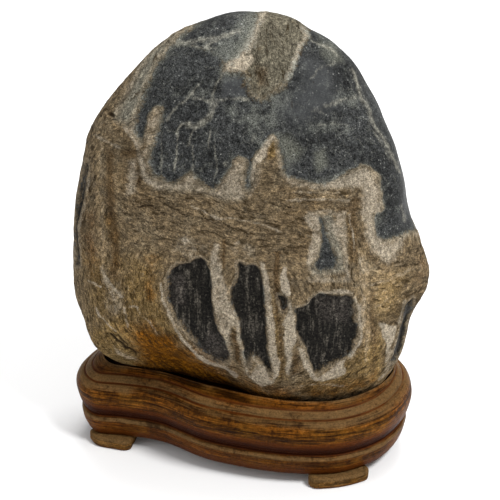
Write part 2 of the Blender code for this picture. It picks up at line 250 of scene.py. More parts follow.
GOLD_AREAS = {
    "left_low": (14, 0.7, [(80, 250), (104, 262), (118, 300), (112, 330), (88, 330)]),
    "mid_left": (14, 0.8, [(118, 258), (160, 258), (168, 320), (150, 338), (118, 318)]),
    "gold_column": (5, 0.55, [(106, 214), (119, 214), (121, 285), (107, 285)]),
    "gold_line": (3, 0.35, [(348, 218), (356, 218), (358, 262), (350, 262)]),
    "right_low": (9, 0.7, [(352, 350), (384, 326), (386, 384), (345, 398), (300, 398), (300, 384)]),
    "right_waves": (10, 0.5, [(372, 280), (416, 266), (402, 318), (372, 325)]),
    "horn": (3, 0.9, [(269, 142), (274, 137), (278, 146), (276, 158), (268, 158)]),
    "foot_edge": (7, 0.9, [(140, 296), (160, 296), (172, 320), (186, 344), (170, 346), (146, 330)]),
    "toe": (6, 0.9, [(90, 326), (122, 334), (144, 354), (156, 368), (110, 368), (92, 350)]),
    "between": (5, 0.6, [(270, 290), (282, 318), (288, 380), (276, 384), (272, 340)]),
    "lower_left": (9, 0.9, [(98, 318), (128, 312), (160, 330), (200, 362), (180, 372), (130, 362),
        (104, 340)]),
}
LIGHT_AREAS = {
    "left_inner": (8, 0.5, [(108, 156), (130, 156), (134, 194), (112, 200)]),
    "left_upright": (3, 0.75, [(97, 150), (105, 150), (104, 270), (97, 270)]),
    "mid_left": (12, 0.28, [(120, 222), (160, 222), (160, 306), (124, 306)]),
    "left_low": (7, 0.6, [(98, 314), (124, 318), (140, 340), (120, 346), (102, 334)]),
    "spot_column": (3, 0.85, [(359, 250), (368, 250), (370, 300), (370, 350), (362, 380), (360, 300)]),
    "right_waves": (8, 0.8, [(368, 268), (400, 264), (400, 296), (390, 318), (372, 322)]),
    "low_right": (6, 0.5, [(362, 318), (384, 322), (384, 384), (362, 384)]),
    "gold_column": (5, 0.3, [(106, 214), (119, 214), (121, 285), (107, 285)]),
}
BROWN_AREAS = {
    "saddle_heart": (5, 0.55, [(256, 62), (269, 64), (268, 84), (258, 90), (254, 76)]),
    "under_finger": (4, 0.6, [(118, 148), (138, 148), (136, 160), (120, 158)]),
    "notch": (2.5, 0.7, [(137, 170), (143, 178), (142, 186), (137, 184)]),
    "left_column": (3, 0.65, [(108, 150), (116, 150), (120, 220), (117, 280), (107, 280)]),
    "rib_column": (1.5, 0.8, [(222, 238), (226, 240), (226, 270), (223, 268)]),
    "rib_streak": (1.5, 0.8, [(231, 332), (236, 332), (239, 350), (243, 366), (235, 360)]),
    "brown_column": (1.5, 0.7, [(274, 250), (280, 250), (280, 276), (278, 300), (280, 320), (283, 340),
        (284, 376), (280, 380), (280, 350), (276, 320), (274, 290)]),
    "slit": (1.5, 1.0, [(276, 294), (284, 296), (288, 301), (288, 309), (284, 316), (280, 308)]),
    "wedge": (2, 0.7, [(292, 352), (297, 352), (301, 372), (292, 376)]),
    "right_column": (3, 0.55, [(348, 195), (360, 195), (360, 265), (350, 265)]),
    "far_column": (3, 0.5, [(369, 290), (376, 290), (376, 380), (368, 380)]),
    "strip_shadow": (3, 0.45, [(335, 205), (350, 205), (350, 217), (335, 218)]),
    "window_foot": (3, 0.35, [(180, 325), (200, 325), (200, 350), (190, 345)]),
}
OCHRE_AREAS = {
    "lower_left": (16, 0.9, [(128, 330), (152, 326), (186, 350), (225, 373), (262, 387), (300, 396),
        (300, 408), (240, 406), (190, 390), (140, 374), (140, 352)]),
    "bottom": (9, 0.45, [(296, 386), (340, 384), (376, 372), (384, 384), (340, 402), (296, 404)]),
    "column": (6, 0.2, [(108, 214), (122, 222), (124, 290), (108, 290)]),
    "heart": (8, 1.0, [(138, 333), (168, 335), (178, 352), (150, 356)]),
    "horn": (4, 0.15, [(266, 148), (274, 139), (279, 150), (281, 166), (268, 168)]),
    "patch": (8, 0.5, [(144, 258), (156, 258), (158, 300), (146, 300)]),
    "far_right": (8, 0.25, [(413, 250), (428, 252), (430, 290), (414, 300)]),
    "left_side": (10, 0.4, [(84, 210), (98, 210), (98, 280), (86, 280)]),
}
# Grey areas of slate. On the lavender shoulder and the blue side of the horn, the lighter grey is a
# painted sheen where light glances off the hood; the others are grey in the stone itself.
GREY_AND_SHEEN_AREAS = {
    "lavender_sheen": (14, 0.75, [(304, 56), (334, 64), (340, 108), (306, 128), (276, 116), (284, 96),
        (298, 82)]),
    "blue_sheen_horn_side": (6, 0.4, [(283, 150), (300, 156), (300, 178), (286, 172)]),
    "grey_hatched": (2.5, 0.8, [(223, 77), (243, 76), (246, 95), (222, 97)]),
    "left_streak": (3, 0.5, [(171, 276), (182, 276), (184, 306), (174, 306)]),
    "left_foot": (4, 0.5, [(206, 336), (222, 340), (228, 358), (214, 360), (202, 350)]),
    "right_streaks": (4, 0.35, [(318, 298), (350, 298), (350, 322), (322, 324)]),
    "toe": (4, 0.6, [(126, 352), (141, 357), (140, 366), (124, 364)]),
}

# Lines: half width, strength, points.
PALE_LINES = {
    "crown_streak": (2.4, 0.5, [(173, 43), (188, 42), (205, 38), (228, 32), (240, 26)]),
    "pink_streak": (1.2, 0.5, [(190, 45), (203, 46), (215, 46)]),
    "saddle_left": (4.0, 0.78, [(263, 13), (255, 28), (247, 46), (240, 55), (234, 60)]),
    "saddle_left_edge": (1.8, 0.5, [(250, 50), (247, 60), (244, 66), (236, 71), (225, 71)]),
    "saddle_right": (2.4, 0.7, [(303, 28), (307, 36), (299, 50), (293, 63), (287, 79)]),
    "saddle_foot": (1.6, 0.3, [(284, 80), (272, 86), (262, 94), (252, 94), (246, 98)]),
    "patch_left": (1.5, 0.5, [(221, 75), (217, 84), (214, 94), (212, 104), (208, 113)]),
    "patch_foot": (1.8, 0.42, [(192, 97), (199, 98), (206, 101), (214, 101), (222, 100), (231, 99),
        (240, 97)]),
    "patch_end": (2.0, 0.7, [(244, 98), (248, 98)]),
    "long_vein": (1.5, 0.5, [(197, 84), (190, 92), (183, 99), (177, 103), (171, 111), (164, 120)]),
    "top_vein": (1.4, 0.25, [(202, 60), (194, 66), (188, 72)]),
    "curl": (1.4, 0.5, [(197, 125), (191, 131), (189, 138), (187, 146)]),
    "horn_vein": (2.4, 0.3, [(264, 126), (256, 134), (250, 144), (247, 156)]),
    "upright_1": (0.9, 0.6, [(161, 132), (160, 146), (159, 160), (160, 175)]),
    "upright_2": (1.0, 0.7, [(181, 123), (176, 128), (176, 142), (175, 156), (174, 170)]),
    "upright_3": (1.0, 0.6, [(191, 146), (192, 158), (191, 171)]),
    "upright_4": (0.8, 0.6, [(210, 130), (209, 140), (209, 148)]),
    "upright_5": (1.0, 0.45, [(215, 145), (214, 158), (215, 170), (212, 182)]),
    "spot": (2.2, 0.5, [(224, 163), (225, 165)]),
    "hood_edge_left": (1.8, 0.42, [(173, 43), (166, 50), (156, 64), (148, 77), (141, 90), (134, 106),
        (130, 120), (131, 130), (138, 142)]),
    "finger_left": (1.6, 0.7, [(122, 128), (131, 138), (138, 148), (140, 160), (142, 172)]),
    "lobe_foot": (2.2, 0.9, [(142, 160), (143, 172), (149, 180), (158, 186)]),
    "margin_line": (1.6, 0.5, [(112, 116), (122, 98), (134, 78), (148, 60)]),
    "shoulder_arc": (1.5, 0.48, [(312, 42), (322, 47), (332, 51), (338, 58), (330, 65), (318, 69),
        (310, 79)]),
    "shoulder_vein": (1.8, 0.42, [(325, 106), (338, 101), (348, 98), (358, 96)]),
    "shoulder_vein_2": (1.4, 0.35, [(320, 124), (334, 122), (350, 124)]),
    "right_edge_line": (1.9, 0.55, [(352, 70), (356, 80), (360, 90), (365, 100), (370, 108), (374, 118),
        (378, 126), (385, 140), (390, 152), (395, 163), (399, 172)]),
    "right_edge_line_2": (1.1, 0.4, [(362, 98), (368, 110), (375, 126), (383, 146), (390, 162)]),
    "crown_streak_2": (1.6, 0.5, [(203, 46), (214, 38), (226, 31), (240, 25)]),
    "green_vein": (2.6, 0.5, [(217, 104), (211, 112), (205, 120), (196, 125), (186, 126)]),
    "wave_1": (1.4, 0.42, [(366, 285), (374, 284), (380, 282), (388, 282), (396, 277), (406, 274),
        (413, 269), (421, 265)]),
    "wave_2": (1.2, 0.3, [(384, 274), (392, 268), (401, 265), (411, 259)]),
    "wave_3": (1.2, 0.32, [(374, 296), (385, 291), (394, 289), (404, 281)]),
    "wave_4": (1.1, 0.36, [(376, 308), (388, 300), (397, 294), (405, 290)]),
    "wave_5": (1.1, 0.32, [(374, 318), (383, 311), (393, 304), (401, 300)]),
    "column_line": (1.4, 0.45, [(360, 250), (361, 275), (362, 300), (363, 330), (364, 360)]),
    "column_line_2": (1.2, 0.3, [(368, 262), (369, 290), (369, 320), (370, 345)]),
    "right_edge_foot": (1.3, 0.5, [(402, 205), (405, 213), (407, 222)]),
    "horn_left": (2.2, 0.9, [(272, 137), (266, 144), (258, 155), (254, 164), (252, 180)]),
    "band_1": (0.9, 0.62, [(190, 206), (200, 210), (208, 214), (216, 218), (230, 219), (245, 222),
        (258, 223), (270, 226), (280, 230)]),
    "band_2": (1.2, 0.6, [(288, 201), (310, 199), (330, 200), (350, 200)]),
    "band_3": (1.2, 0.4, [(290, 193), (315, 192), (340, 193)]),
    "left_light": (1.2, 0.6, [(96, 135), (104, 140), (110, 143), (118, 147)]),
    "left_upright": (2.2, 0.3, [(104, 145), (103, 180), (103, 210), (103, 230), (100, 250), (100, 268)]),
    "left_upright_foot": (2.2, 0.6, [(101, 266), (103, 277), (107, 286)]),
    "fork_1": (0.9, 0.95, [(104, 277), (110, 284), (116, 291), (122, 297)]),
    "fork_2": (0.8, 0.8, [(87, 281), (93, 283), (100, 287)]),
    "fork_3": (0.8, 0.8, [(125, 308), (126, 318), (128, 327)]),
    "fork_4": (0.9, 0.8, [(95, 309), (98, 318), (104, 319), (109, 325), (115, 331)]),
    "fork_5": (0.8, 0.6, [(114, 288), (110, 293), (117, 300)]),
    "fork_6": (0.8, 0.6, [(130, 306), (138, 307), (141, 314), (150, 322), (156, 334)]),
    "left_contour": (1.3, 0.5, [(88, 178), (86, 195), (84, 207), (82, 220), (80, 235)]),
    "prong_wedge": (2.0, 0.6, [(254, 358), (258, 366), (260, 374)]),
    "window_foot_line": (1.3, 0.85, [(162, 283), (165, 298), (171, 314), (178, 330), (188, 346),
        (197, 356), (209, 363), (224, 366), (238, 373)]),
    "window_right_line": (1.2, 0.85, [(354, 297), (358, 306), (359.5, 320), (360, 334), (357, 346),
        (349, 356)]),
    "house_peak": (2, 0.5, [(308, 214), (325, 211), (346, 216)]),
    "yellow_line": (0.8, 0.7, [(351, 215), (353, 226), (355, 240), (356, 252)]),
    "spotted": (2.5, 0.4, [(364, 255), (364, 300), (365, 350)]),
    "right_rim": (1.4, 0.6, [(396, 340), (392, 356), (388, 368), (380, 380)]),
    "right_sliver": (1.4, 0.6, [(405, 300), (402, 314), (399, 326)]),
    "foot_line": (1.0, 0.4, [(300, 386), (320, 384), (345, 388)]),
}
# Dark lines and spots. In the cracks, folds, holes and the crevice, the darkness is painted shade in
# those recesses.
DARK_LINES = {
    "crack_1": (0.75, 1.0, [(141, 207), (144, 205), (150, 205), (156, 210), (160, 213), (163, 216)]),
    "crack_2": (0.8, 0.7, [(124, 199), (133, 203), (140, 207)]),
    "crack_3": (0.9, 0.8, [(163, 204), (168, 207), (175, 209), (181, 212), (190, 218)]),
    "crack_4": (0.9, 0.8, [(200, 213), (205, 218), (209, 221)]),
    "crack_5": (0.8, 0.6, [(143, 219), (155, 221), (170, 221), (180, 219)]),
    "crack_6": (0.8, 0.7, [(200, 229), (208, 231), (214, 234), (219, 238)]),
    "crack_7": (0.8, 0.8, [(222, 222), (228, 228), (232, 234)]),
    "crack_8": (0.8, 0.6, [(238, 228), (244, 233), (248, 238)]),
    "crack_9": (0.9, 0.7, [(250, 229), (258, 230)]),
    "crack_10": (0.8, 0.6, [(262, 221), (272, 225), (282, 229)]),
    "crack_11": (0.8, 0.6, [(156, 192), (166, 196), (178, 200)]),
    "crack_12": (0.8, 0.6, [(188, 196), (194, 200)]),
    "crack_13": (0.7, 0.6, [(155, 216), (160, 220)]),
    "fold_1": (0.8, 0.5, [(124, 133), (130, 139), (136, 146)]),
    "fold_2": (0.8, 0.5, [(130, 131), (136, 138), (141, 145)]),
    "left_dark_1": (0.9, 0.6, [(104, 139), (110, 141), (118, 142)]),
    "left_dark_2": (0.9, 0.6, [(112, 143), (120, 147), (128, 150)]),
    "hole": (1.8, 1.0, [(110, 115), (110.5, 116)]),
    "hole_2": (1.0, 0.8, [(101, 116), (101.5, 116.5)]),
    "brown_streak": (1.6, 0.6, [(118, 104), (124, 95), (128, 88)]),
    "crevice": (1.3, 1.0, [(109, 335), (113, 338), (116, 342), (121, 344), (124, 348), (130, 349),
        (134, 353)]),
    "crevice_end": (1.1, 0.8, [(117, 335), (122, 340), (127, 345)]),
    "rib_line": (0.7, 0.6, [(219, 280), (219, 292), (219, 305)]),
    "spot_1": (1.0, 0.6, [(314, 82), (314.5, 83)]),
    "spot_2": (1.0, 0.6, [(293, 100), (294, 105)]),
    "spot_3": (1.0, 0.6, [(299, 115), (299.5, 116)]),
    "spot_4": (1.5, 0.8, [(396, 322), (397, 324)]),
    "layer_1": (0.8, 0.5, [(284, 190), (300, 188), (330, 189), (350, 188)]),
    "layer_2": (0.8, 0.5, [(284, 197), (306, 195), (330, 196), (356, 196)]),
    "layer_3": (0.8, 0.5, [(286, 205), (306, 203), (330, 205), (352, 203)]),
    "layer_4": (0.8, 0.45, [(288, 211), (310, 209), (330, 211)]),
}

# Drawn areas by kind: stains, with a painted sheen among the grey ones and a painted shadow under the
# strip among the brown ones.
STAINS_SHEEN_AND_SHADOW = {
    "pale": PALE_AREAS,
    "olive": OLIVE_AREAS,
    "brown": BROWN_AREAS,
    "ochre": OCHRE_AREAS,
    "grey": GREY_AND_SHEEN_AREAS,
    "sage": SAGE_AREAS,
    "gold": GOLD_AREAS,
    "light": LIGHT_AREAS,
}

# Where the edge between slate and crust is blurred.
BLURRED_AREAS = {
    "saddle": (10, 0.75, [(246, 0), (318, 0), (318, 36), (306, 66), (294, 92), (266, 110), (242, 100),
        (216, 80), (206, 56), (230, 46), (242, 24)]),
    "horn": (5, 0.4, [(280, 128), (312, 150), (300, 184), (282, 176), (276, 150)]),
    "left": (5, 0.4, [(120, 90), (150, 70), (152, 110), (146, 150), (124, 150)]),
    "lobes": (5, 0.3, [(146, 168), (180, 176), (222, 168), (250, 156), (250, 200), (150, 196)]),
}
# Layers in the crust run in slightly flattened rings round a middle (x, z). Inside these areas
# of the sheet they slope instead, and how steeply depends on the height.
LAYER_MIDDLE = (5, 94)
LAYER_OVAL = 0.92
LAYER_TILTS = [(82, -20), (88, 13), (148, 13), (164, 78)]       # height, degrees down to the right
SLOPING_AREAS = {
    "band": (14, 1.0, [(112, 130), (140, 150), (160, 170), (280, 170), (372, 160), (372, 222), (300, 262),
        (180, 262), (120, 240), (108, 190)]),
    "saddle": (4, 1.0, SADDLE),
    "right": (7, 1.0, [(366, 262), (430, 240), (434, 290), (404, 330), (384, 330), (372, 318),
        (366, 290)]),
}

# Lower edge of the hood where the sheet doesn't reach: angle from +X towards the back, height.
HOOD_EDGE = [
    (0, 112), (18, 138), (45, 126), (75, 141), (105, 122), (132, 140), (152, 158), (166, 180), (180, 200),
    (205, 206), (216, 172), (232, 153), (250, 151), (262, 150), (279, 172), (290, 153), (310, 152),
    (322, 150), (327, 121), (345, 116),
]
# Windows on the back: their middle (x, z), half width, half height, and lean to the right.
BACK_WINDOWS = {
    "tall": ((26, 88), 9, 26, 0.18),
    "round": ((-8, 74), 11, 15, -0.1),
    "small": ((-40, 96), 6, 13, -0.15),
}

# ---------------------------------------------------------------- stand
# Widest outline of the moulding and the lip of the recess, point by point round the stand.
RIM = [
    ((77.3, -14), (68, -15)), ((73, 3), (64, -3)), ((59, 19), (51, 9)),
    ((36, 28.5), (30, 17.5)), ((10, 31), (6, 21.5)), ((-18, 30.5), (-18, 22.5)),
    ((-47, 29), (-46, 20)), ((-69, 21), (-61.5, 13.5)), ((-81, 4), (-70, 2.5)),
    ((-83, -12), (-69.5, -6.5)), ((-76, -24), (-65.5, -12.8)), ((-60, -27.5), (-56.5, -15.8)),
    ((-43, -33), (-41.5, -20.5)), ((-24, -46.5), (-23, -31)), ((-3, -55), (-2, -40.5)),
    ((20, -60), (18, -47)), ((43, -59), (39, -47.5)), ((62.5, -48), (55.5, -38.8)),
    ((74, -31), (65.5, -26.5)),
]
GAP = 0.3
FOOT_TOP = 5.5
BASE_Z = FOOT_TOP + GAP
# Moulding, stretch by stretch from the underside up: inset from the widest outline, height.
LOWER_BAND = [(5.5, BASE_Z), (4.6, 7.2), (3.2, 10.7), (2.6, 13.2), (2.3, 15.4), (2.8, 16.8)]
COVE = [(3.8, 17.2), (3.7, 18.2)]
TORUS = [(2.7, 19.2), (1.5, 21.8), (0.4, 26), (0, 29.5), (0.8, 32.5), (2.3, 34.6), (4.1, 35.6)]
STEP = [(4.6, 35.8), (5.2, 36.8), (7.6, 38.6), (8.1, 38.9)]
LIP_Z = 41.2
LIP_ROUND = 0.8
FLOOR_Z = BED_Z - GAP
FLOOR_INSET = 2.6
# The stand's top is a little higher at its right end than at its left: at each height, the
# difference at FALL_REACH from the middle.
TOP_FALL = [(0, 0), (30, 0), (34, 0.4), (42, 0.7)]
FALL_REACH = 80
# Rings of the stand's grid, beside those of the moulding's own section.
SECTION_STEP = 0.45
UNDER_RINGS = 8
RISE_RINGS = 6
LIP_RINGS = 7
WALL_RINGS = 14
CARVED_WALL_RINGS = 9            # the upper part of the wall, as uneven as the outside
FLOOR_RINGS = 10
# Grooves cut in the moulding: inset, height, half width, depth.
GROOVES = {"outer": (4.3, 35.7, 0.45, 0.55), "inner": (7.9, 38.8, 0.45, 0.5)}
GROOVE_TENT = 1.6                # foot of a groove's tent, in half widths
GROOVE_IN, GROOVE_DOWN = 0.75, 0.4
# Where each foot starts and ends, counted in points round the rim, how far it is set in at its
# two ends, and how deep it is.
FEET = {
    "foot_front_left": (9.25, 11.15, 4.6, -0.6, 13),
    "foot_front_right": (15.3, 16.75, 0.9, 1.2, 15),
    "foot_back_right": (1.55, 2.85, 2.2, 2.2, 14),
    "foot_back_left": (6.35, 7.6, 2.6, 2.6, 13),
}
FOOT_CORNER = 3.0
FOOT_STRAIGHT = 0.75             # the part of its length before its corners turn in
FOOT_EASE = 1.3
FOOT_SAMPLES = 60
FOOT_COLUMNS = 240
FOOT_SMOOTHINGS = 5
FOOT_FAN = (0.08, 0.25, 0.5, 0.75)       # rings between an edge and the middle


# ---------------------------------------------------------------- settings
def length_setting(name, description, default):
    """A property that holds a length, with its default in metres."""
    return FloatProperty(name=name, description=description, default=default, unit="LENGTH")


def colour_setting(name, description, default):
    """A property that holds a colour."""
    return FloatVectorProperty(name=name, description=description, default=default,
                               subtype="COLOR", min=0, max=1)


class StoneSettings(bpy.types.PropertyGroup):
    """Sizes and colours of the stone."""

    columns: IntProperty(name="Columns", description="Steps round the stone", default=360)
    rows: IntProperty(name="Rows", description="Steps from bed to top", default=274)
    front_share: FloatProperty(
        name="Front share", description="How much closer the columns stand on the face",
        default=0.45)
    hood_drop: length_setting("Hood drop", "Depth of the slate hood below the crust", 0.9 * MM)
    window_drop: length_setting(
        "Window drop", "Depth of the slate windows below the crust", 2.1 * MM)
    grit: length_setting("Grit", "Height of the crust's coarse grit", 0.32 * MM)
    slate: colour_setting("Slate", "Colour of the hood", (0.027, 0.028, 0.0275))
    window: colour_setting("Window", "Colour of the sunk windows", (0.0078, 0.0070, 0.0056))
    crust: colour_setting("Crust", "Colour of the crust", (0.130, 0.0945, 0.054))
    pale: colour_setting("Pale mineral", "Colour of rims and veins", (0.345, 0.295, 0.222))
    ochre: colour_setting("Ochre", "Colour of the stained foot", (0.128, 0.048, 0.003))


class StandSettings(bpy.types.PropertyGroup):
    """Sizes and colours of the stand."""

    columns: IntProperty(name="Columns", description="Steps round the rim", default=640)
    hand: length_setting("Hand", "How uneven the carving is", 0.22 * MM)
    wood: colour_setting("Wood", "Colour of the waxed hardwood", (0.076, 0.026, 0.0028))
    # Colour of the painted shade in coves, grooves and under the stone, and of dark scratches.
    shade_and_scratch_wood: colour_setting("Dark wood", "Colour in coves and grooves", (0.018, 0.0032, 0.0004))
    # Colour of wear, and of the painted highlights on lit shoulders and edges.
    worn_and_lit_wood: colour_setting(
        "Worn wood", "Colour where hands have worn it", (0.128, 0.073, 0.028))
    foot_wood: colour_setting("Foot wood", "Colour of the rougher feet", (0.120, 0.061, 0.0185))


class StudioSettings(bpy.types.PropertyGroup):
    """Camera, floor and light."""

    elevation: FloatProperty(
        name="Elevation", description="Angle the camera looks down at", subtype="ANGLE",
        default=math.radians(28))
    distance: length_setting("Distance", "Camera to target", 1.0)
    lens: FloatProperty(name="Lens", description="Focal length in mm", default=153.2)
    target_height: length_setting("Target height", "Height the camera looks at", 95 * MM)
    floor_radius: length_setting("Floor radius", "Reach of the floor", 4.0)
    sky: FloatProperty(name="Sky", description="Strength of the soft surroundings", default=0.46)


SENSOR = 36.0                    # mm, across the camera's picture
SETTINGS = (StoneSettings, StandSettings, StudioSettings)


# ---------------------------------------------------------------- curves and noise
TINY = 1e-9
LATTICE = 64                     # random values along each side of a noise's block
TENT = 2.4                       # foot of a drawn line's tent, in half widths
# Each sum of noises, as the height, size in mm and seed of every noise in it.
NOISES = {
    "back hood edge": [(5, 17, 21), (3, 7, 22)],
    "back window edge": [(0.16, 8, 23)],
    "turn to the back": [(0.35, 15, 51), (0.25, 6, 52)],
    "stray across": [(0.9, 7, 61), (0.9, 2.4, 62)],
    "stray down": [(0.9, 7, 71), (0.9, 2.4, 72)],
    "ring": [(1.6, 14, 81), (0.7, 5, 82)],
    "slope": [(2.2, 18, 83), (0.8, 6, 84)],
    "grit": [(0.55, 5.5, 1), (0.35, 2.6, 2), (0.30, 1.5, 3)],
    "layer relief": [(0.24, 2.4, 4), (0.14, 1.4, 5)],
    "carving": [(1, 13, 41), (0.5, 5, 42)],
    "groove shade": [(0.5, 22, 43), (0.3, 6, 44)],
    "foot carving": [(1, 4, 51), (0.6, 1.8, 52)],
}


def catmull_rom(a, b, c, d, f):
    """The curve between b and c at the fraction f, level with a to c and b to d."""
    return 0.5 * (2 * b + (c - a) * f + (2 * a - 5 * b + 4 * c - d) * f ** 2
                  + (3 * b - a - 3 * c + d) * f ** 3)


def open_spline(points, v):
    """Catmull-Rom curve at v from 0 to 1, carried on past each end by its mirror image."""
    p = np.array(points, float)
    across_axis = (-1, 1)
    p = np.vstack([p[1] * across_axis, p, p[-2] * across_axis])
    s = np.clip(v, 0, 1) * (len(points) - 1)
    i = np.minimum(s.astype(int), len(points) - 2)
    return catmull_rom(p[i], p[i + 1], p[i + 2], p[i + 3], (s - i)[..., None])


def closed_spline(points, s):
    """Closed Catmull-Rom curve at s, which counts points and may be a fraction."""
    p = np.array(points, float)
    n = len(p)
    i = np.floor(s).astype(int)
    return catmull_rom(p[(i - 1) % n], p[i % n], p[(i + 1) % n], p[(i + 2) % n],
                       (s - i)[:, None])


def unit(d):
    """Directions of length 1."""
    return d / (np.linalg.norm(d, axis=-1, keepdims=True) + TINY)


def by_height(z, table):
    """Value of a (height, value) table at z."""
    return np.interp(z, *np.array(table, float).T)


def smooth_step(t):
    """0 below 0, 1 above 1, with level ends."""
    t = np.clip(t, 0, 1)
    return t * t * (3 - 2 * t)


def rough(p, size, seed):
    """Smooth noise from -1 to 1.

    Seeded random values stand on a cubic lattice `size` apart, and each point takes the eased
    blend of the eight at the corners of its cell.
    """
    lattice = np.random.default_rng(seed).uniform(-1, 1, (LATTICE, LATTICE, LATTICE))
    q = p / size
    cell = np.floor(q).astype(int)
    part = smooth_step(q - cell)
    value = np.zeros(p.shape[:-1])
    for corner in itertools.product((0, 1), repeat=3):
        weight = np.prod(np.where(corner, part, 1 - part), axis=-1)
        at = (cell + corner) % LATTICE
        value += weight * lattice[at[..., 0], at[..., 1], at[..., 2]]
    return value


def uneven(p, name, start=0.0):
    """The start with the named noises added."""
    return sum((height * rough(p, size, seed) for height, size, seed in NOISES[name]), start)


def line_distance(q, line, closed=False):
    """Shortest distance from each sheet point to a chain of straight runs."""
    line = np.array(line, float)
    ends = np.roll(line, -1, 0) if closed else line[1:]
    best = np.full(len(q), np.inf)
    for a, b in zip(line, ends):
        along = b - a
        t = np.clip(((q - a) @ along) / (along @ along), 0, 1)
        best = np.minimum(best, ((q - a - t[:, None] * along) ** 2).sum(1))
    return np.sqrt(best)


def outline_depth(q, outline):
    """Distance from each sheet point to a closed outline, positive inside.

    A point is inside when a level ray from it crosses the outline an odd number of times.
    """
    line = np.array(outline, float)
    inside = np.zeros(len(q), bool)
    for a, b in zip(line, np.roll(line, -1, 0)):
        if a[1] == b[1]:
            continue
        spans = (a[1] > q[:, 1]) != (b[1] > q[:, 1])
        crossing = a[0] + (q[:, 1] - a[1]) * (b[0] - a[0]) / (b[1] - a[1])
        inside ^= spans & (q[:, 0] < crossing)
    return np.where(inside, 1, -1) * line_distance(q, outline, closed=True)


def drawn_areas(q, areas):
    """Strongest of several soft-edged areas at each point, from 0 to 1."""
    value = np.zeros(len(q))
    for soft, strength, outline in areas.values():
        depth = outline_depth(q, outline)
        value = np.maximum(value, strength * np.clip(0.5 + depth / (2 * soft), 0, 1))
    return value


def drawn_lines(q, lines):
    """Strongest of several lines, each a tent across its own width, from 0 to 1."""
    value = np.zeros(len(q))
    for half_width, strength, points in lines.values():
        away = line_distance(q, points)
        value = np.maximum(value, strength * np.clip(1 - away / (TENT * half_width), 0, 1))
    return value


# ---------------------------------------------------------------- meshes
def grid_piece(name, points, last, first=None):
    """A mesh from a grid of points in mm, rows by columns, closed round each row.

    `first` and `last` are pole points that close the two ends. Faces point outwards where the
    columns run anticlockwise, seen from above, and the rows run up.
    """
    rows, columns = points.shape[:2]
    corners = points.reshape(-1, 3)
    i = np.arange(rows - 1)[:, None] * columns
    j = np.arange(columns)
    k = (j + 1) % columns
    quads = np.stack([i + j, i + k, i + columns + k, i + columns + j], -1).reshape(-1, 4)
    faces = [quads]
    if first is not None:
        faces.append(np.stack([k, j, np.full(columns, len(corners))], -1))
        corners = np.vstack([corners, first])
    top = (rows - 1) * columns
    faces.append(np.stack([top + j, top + k, np.full(columns, len(corners))], -1))
    corners = np.vstack([corners, last])
    mesh = bpy.data.meshes.new(name)
    mesh.vertices.add(len(corners))
    mesh.vertices.foreach_set("co", (corners * MM).astype(np.float32).ravel())
    loops = np.concatenate([f.ravel() for f in faces])
    sizes = np.concatenate([np.full(len(f), f.shape[1]) for f in faces])
    starts = np.concatenate([[0], np.cumsum(sizes)[:-1]])
    mesh.loops.add(len(loops))
    mesh.loops.foreach_set("vertex_index", loops.astype(np.int32))
    mesh.polygons.add(len(sizes))
    mesh.polygons.foreach_set("loop_start", starts.astype(np.int32))
    mesh.update(calc_edges=True)
    mesh.validate()
    mesh.shade_smooth()
    piece = bpy.data.objects.new(name, mesh)
    bpy.context.scene.collection.objects.link(piece)
    return piece


def give_values(piece, name, values):
    """Store one number for each corner of the mesh; the poles take the last point's value."""
    values = np.asarray(values, np.float32).ravel()
    spare = len(piece.data.vertices) - len(values)
    values = np.concatenate([values, np.full(spare, values[-1])])
    attribute = piece.data.attributes.new(name, "FLOAT", "POINT")
    attribute.data.foreach_set("value", values)


def give_run(piece, points):
    """Store how far round its ring, and how far across the rings, each point lies, in metres.

    The two ends of a ring meet at the back, where a mirrored distance hides the join.
    """
    round_ring = np.linalg.norm(np.diff(points, axis=1, append=points[:, :1]), axis=2)
    middle = len(points) // 2
    run = np.cumsum(round_ring[middle]) - round_ring[middle][0]
    run = np.minimum(run, run[-1] - run)
    across = np.linalg.norm(np.diff(points, axis=0, prepend=points[:1]), axis=2)
    girth = np.cumsum(across, axis=0)
    give_values(piece, "run", np.tile(run, len(points)) * MM)
    give_values(piece, "girth", girth.mean(1, keepdims=True).repeat(points.shape[1], 1) * MM)


def fit_in(piece, node):
    """The piece stands for a CAD node, which it hides, and rides on the root body."""
    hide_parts(node)
    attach(piece, "root")


# ---------------------------------------------------------------- materials
NOISE_REACH = (0.33, 0.67)       # between these lies nearly all of a noise
# Minerals and stains that lie over the settings' own colours; the hood's grey also holds a painted sheen,
# and the colour of the cracks is painted shade.
MINERALS_SHEEN_AND_SHADE = {
    "bleached": (0.160, 0.132, 0.090), "earth": (0.090, 0.058, 0.027),
    "olive": (0.108, 0.096, 0.069), "brown": (0.070, 0.042, 0.018),
    "dull gold": (0.084, 0.046, 0.011), "bright gold": (0.205, 0.140, 0.057),
    "sage": (0.168, 0.158, 0.125), "fleck": (0.200, 0.172, 0.128),
    "dark layer": (0.026, 0.016, 0.006), "crack_shade": (0.012, 0.007, 0.003),
    "hood film": (0.098, 0.101, 0.088), "hood sage": (0.118, 0.119, 0.096),
    "hood web": (0.13, 0.13, 0.11), "hood dust": (0.22, 0.22, 0.205),
    "hood grey and sheen": (0.066, 0.069, 0.071), "window streak": (0.058, 0.051, 0.041),
    "window grey": (0.062, 0.053, 0.046), "window dust": (0.12, 0.11, 0.09),
    "pale on slate": (0.195, 0.192, 0.160), "soiled pale": (0.140, 0.112, 0.074),
}
LIGHT_PATCH = (1.9, 1.9, 1.85)   # how much lighter the crust's light patches are
WAX = (0.118, 0.049, 0.006)
# Red-brown of the painted shade on the lower band and in the cove.
WOOD_SHADE = (0.078, 0.019, 0.002)
STAND_SURFACE = (0.42, 0.3)      # roughness, and how far single specks of the wood differ
FOOT_SURFACE = (0.62, 0.4)


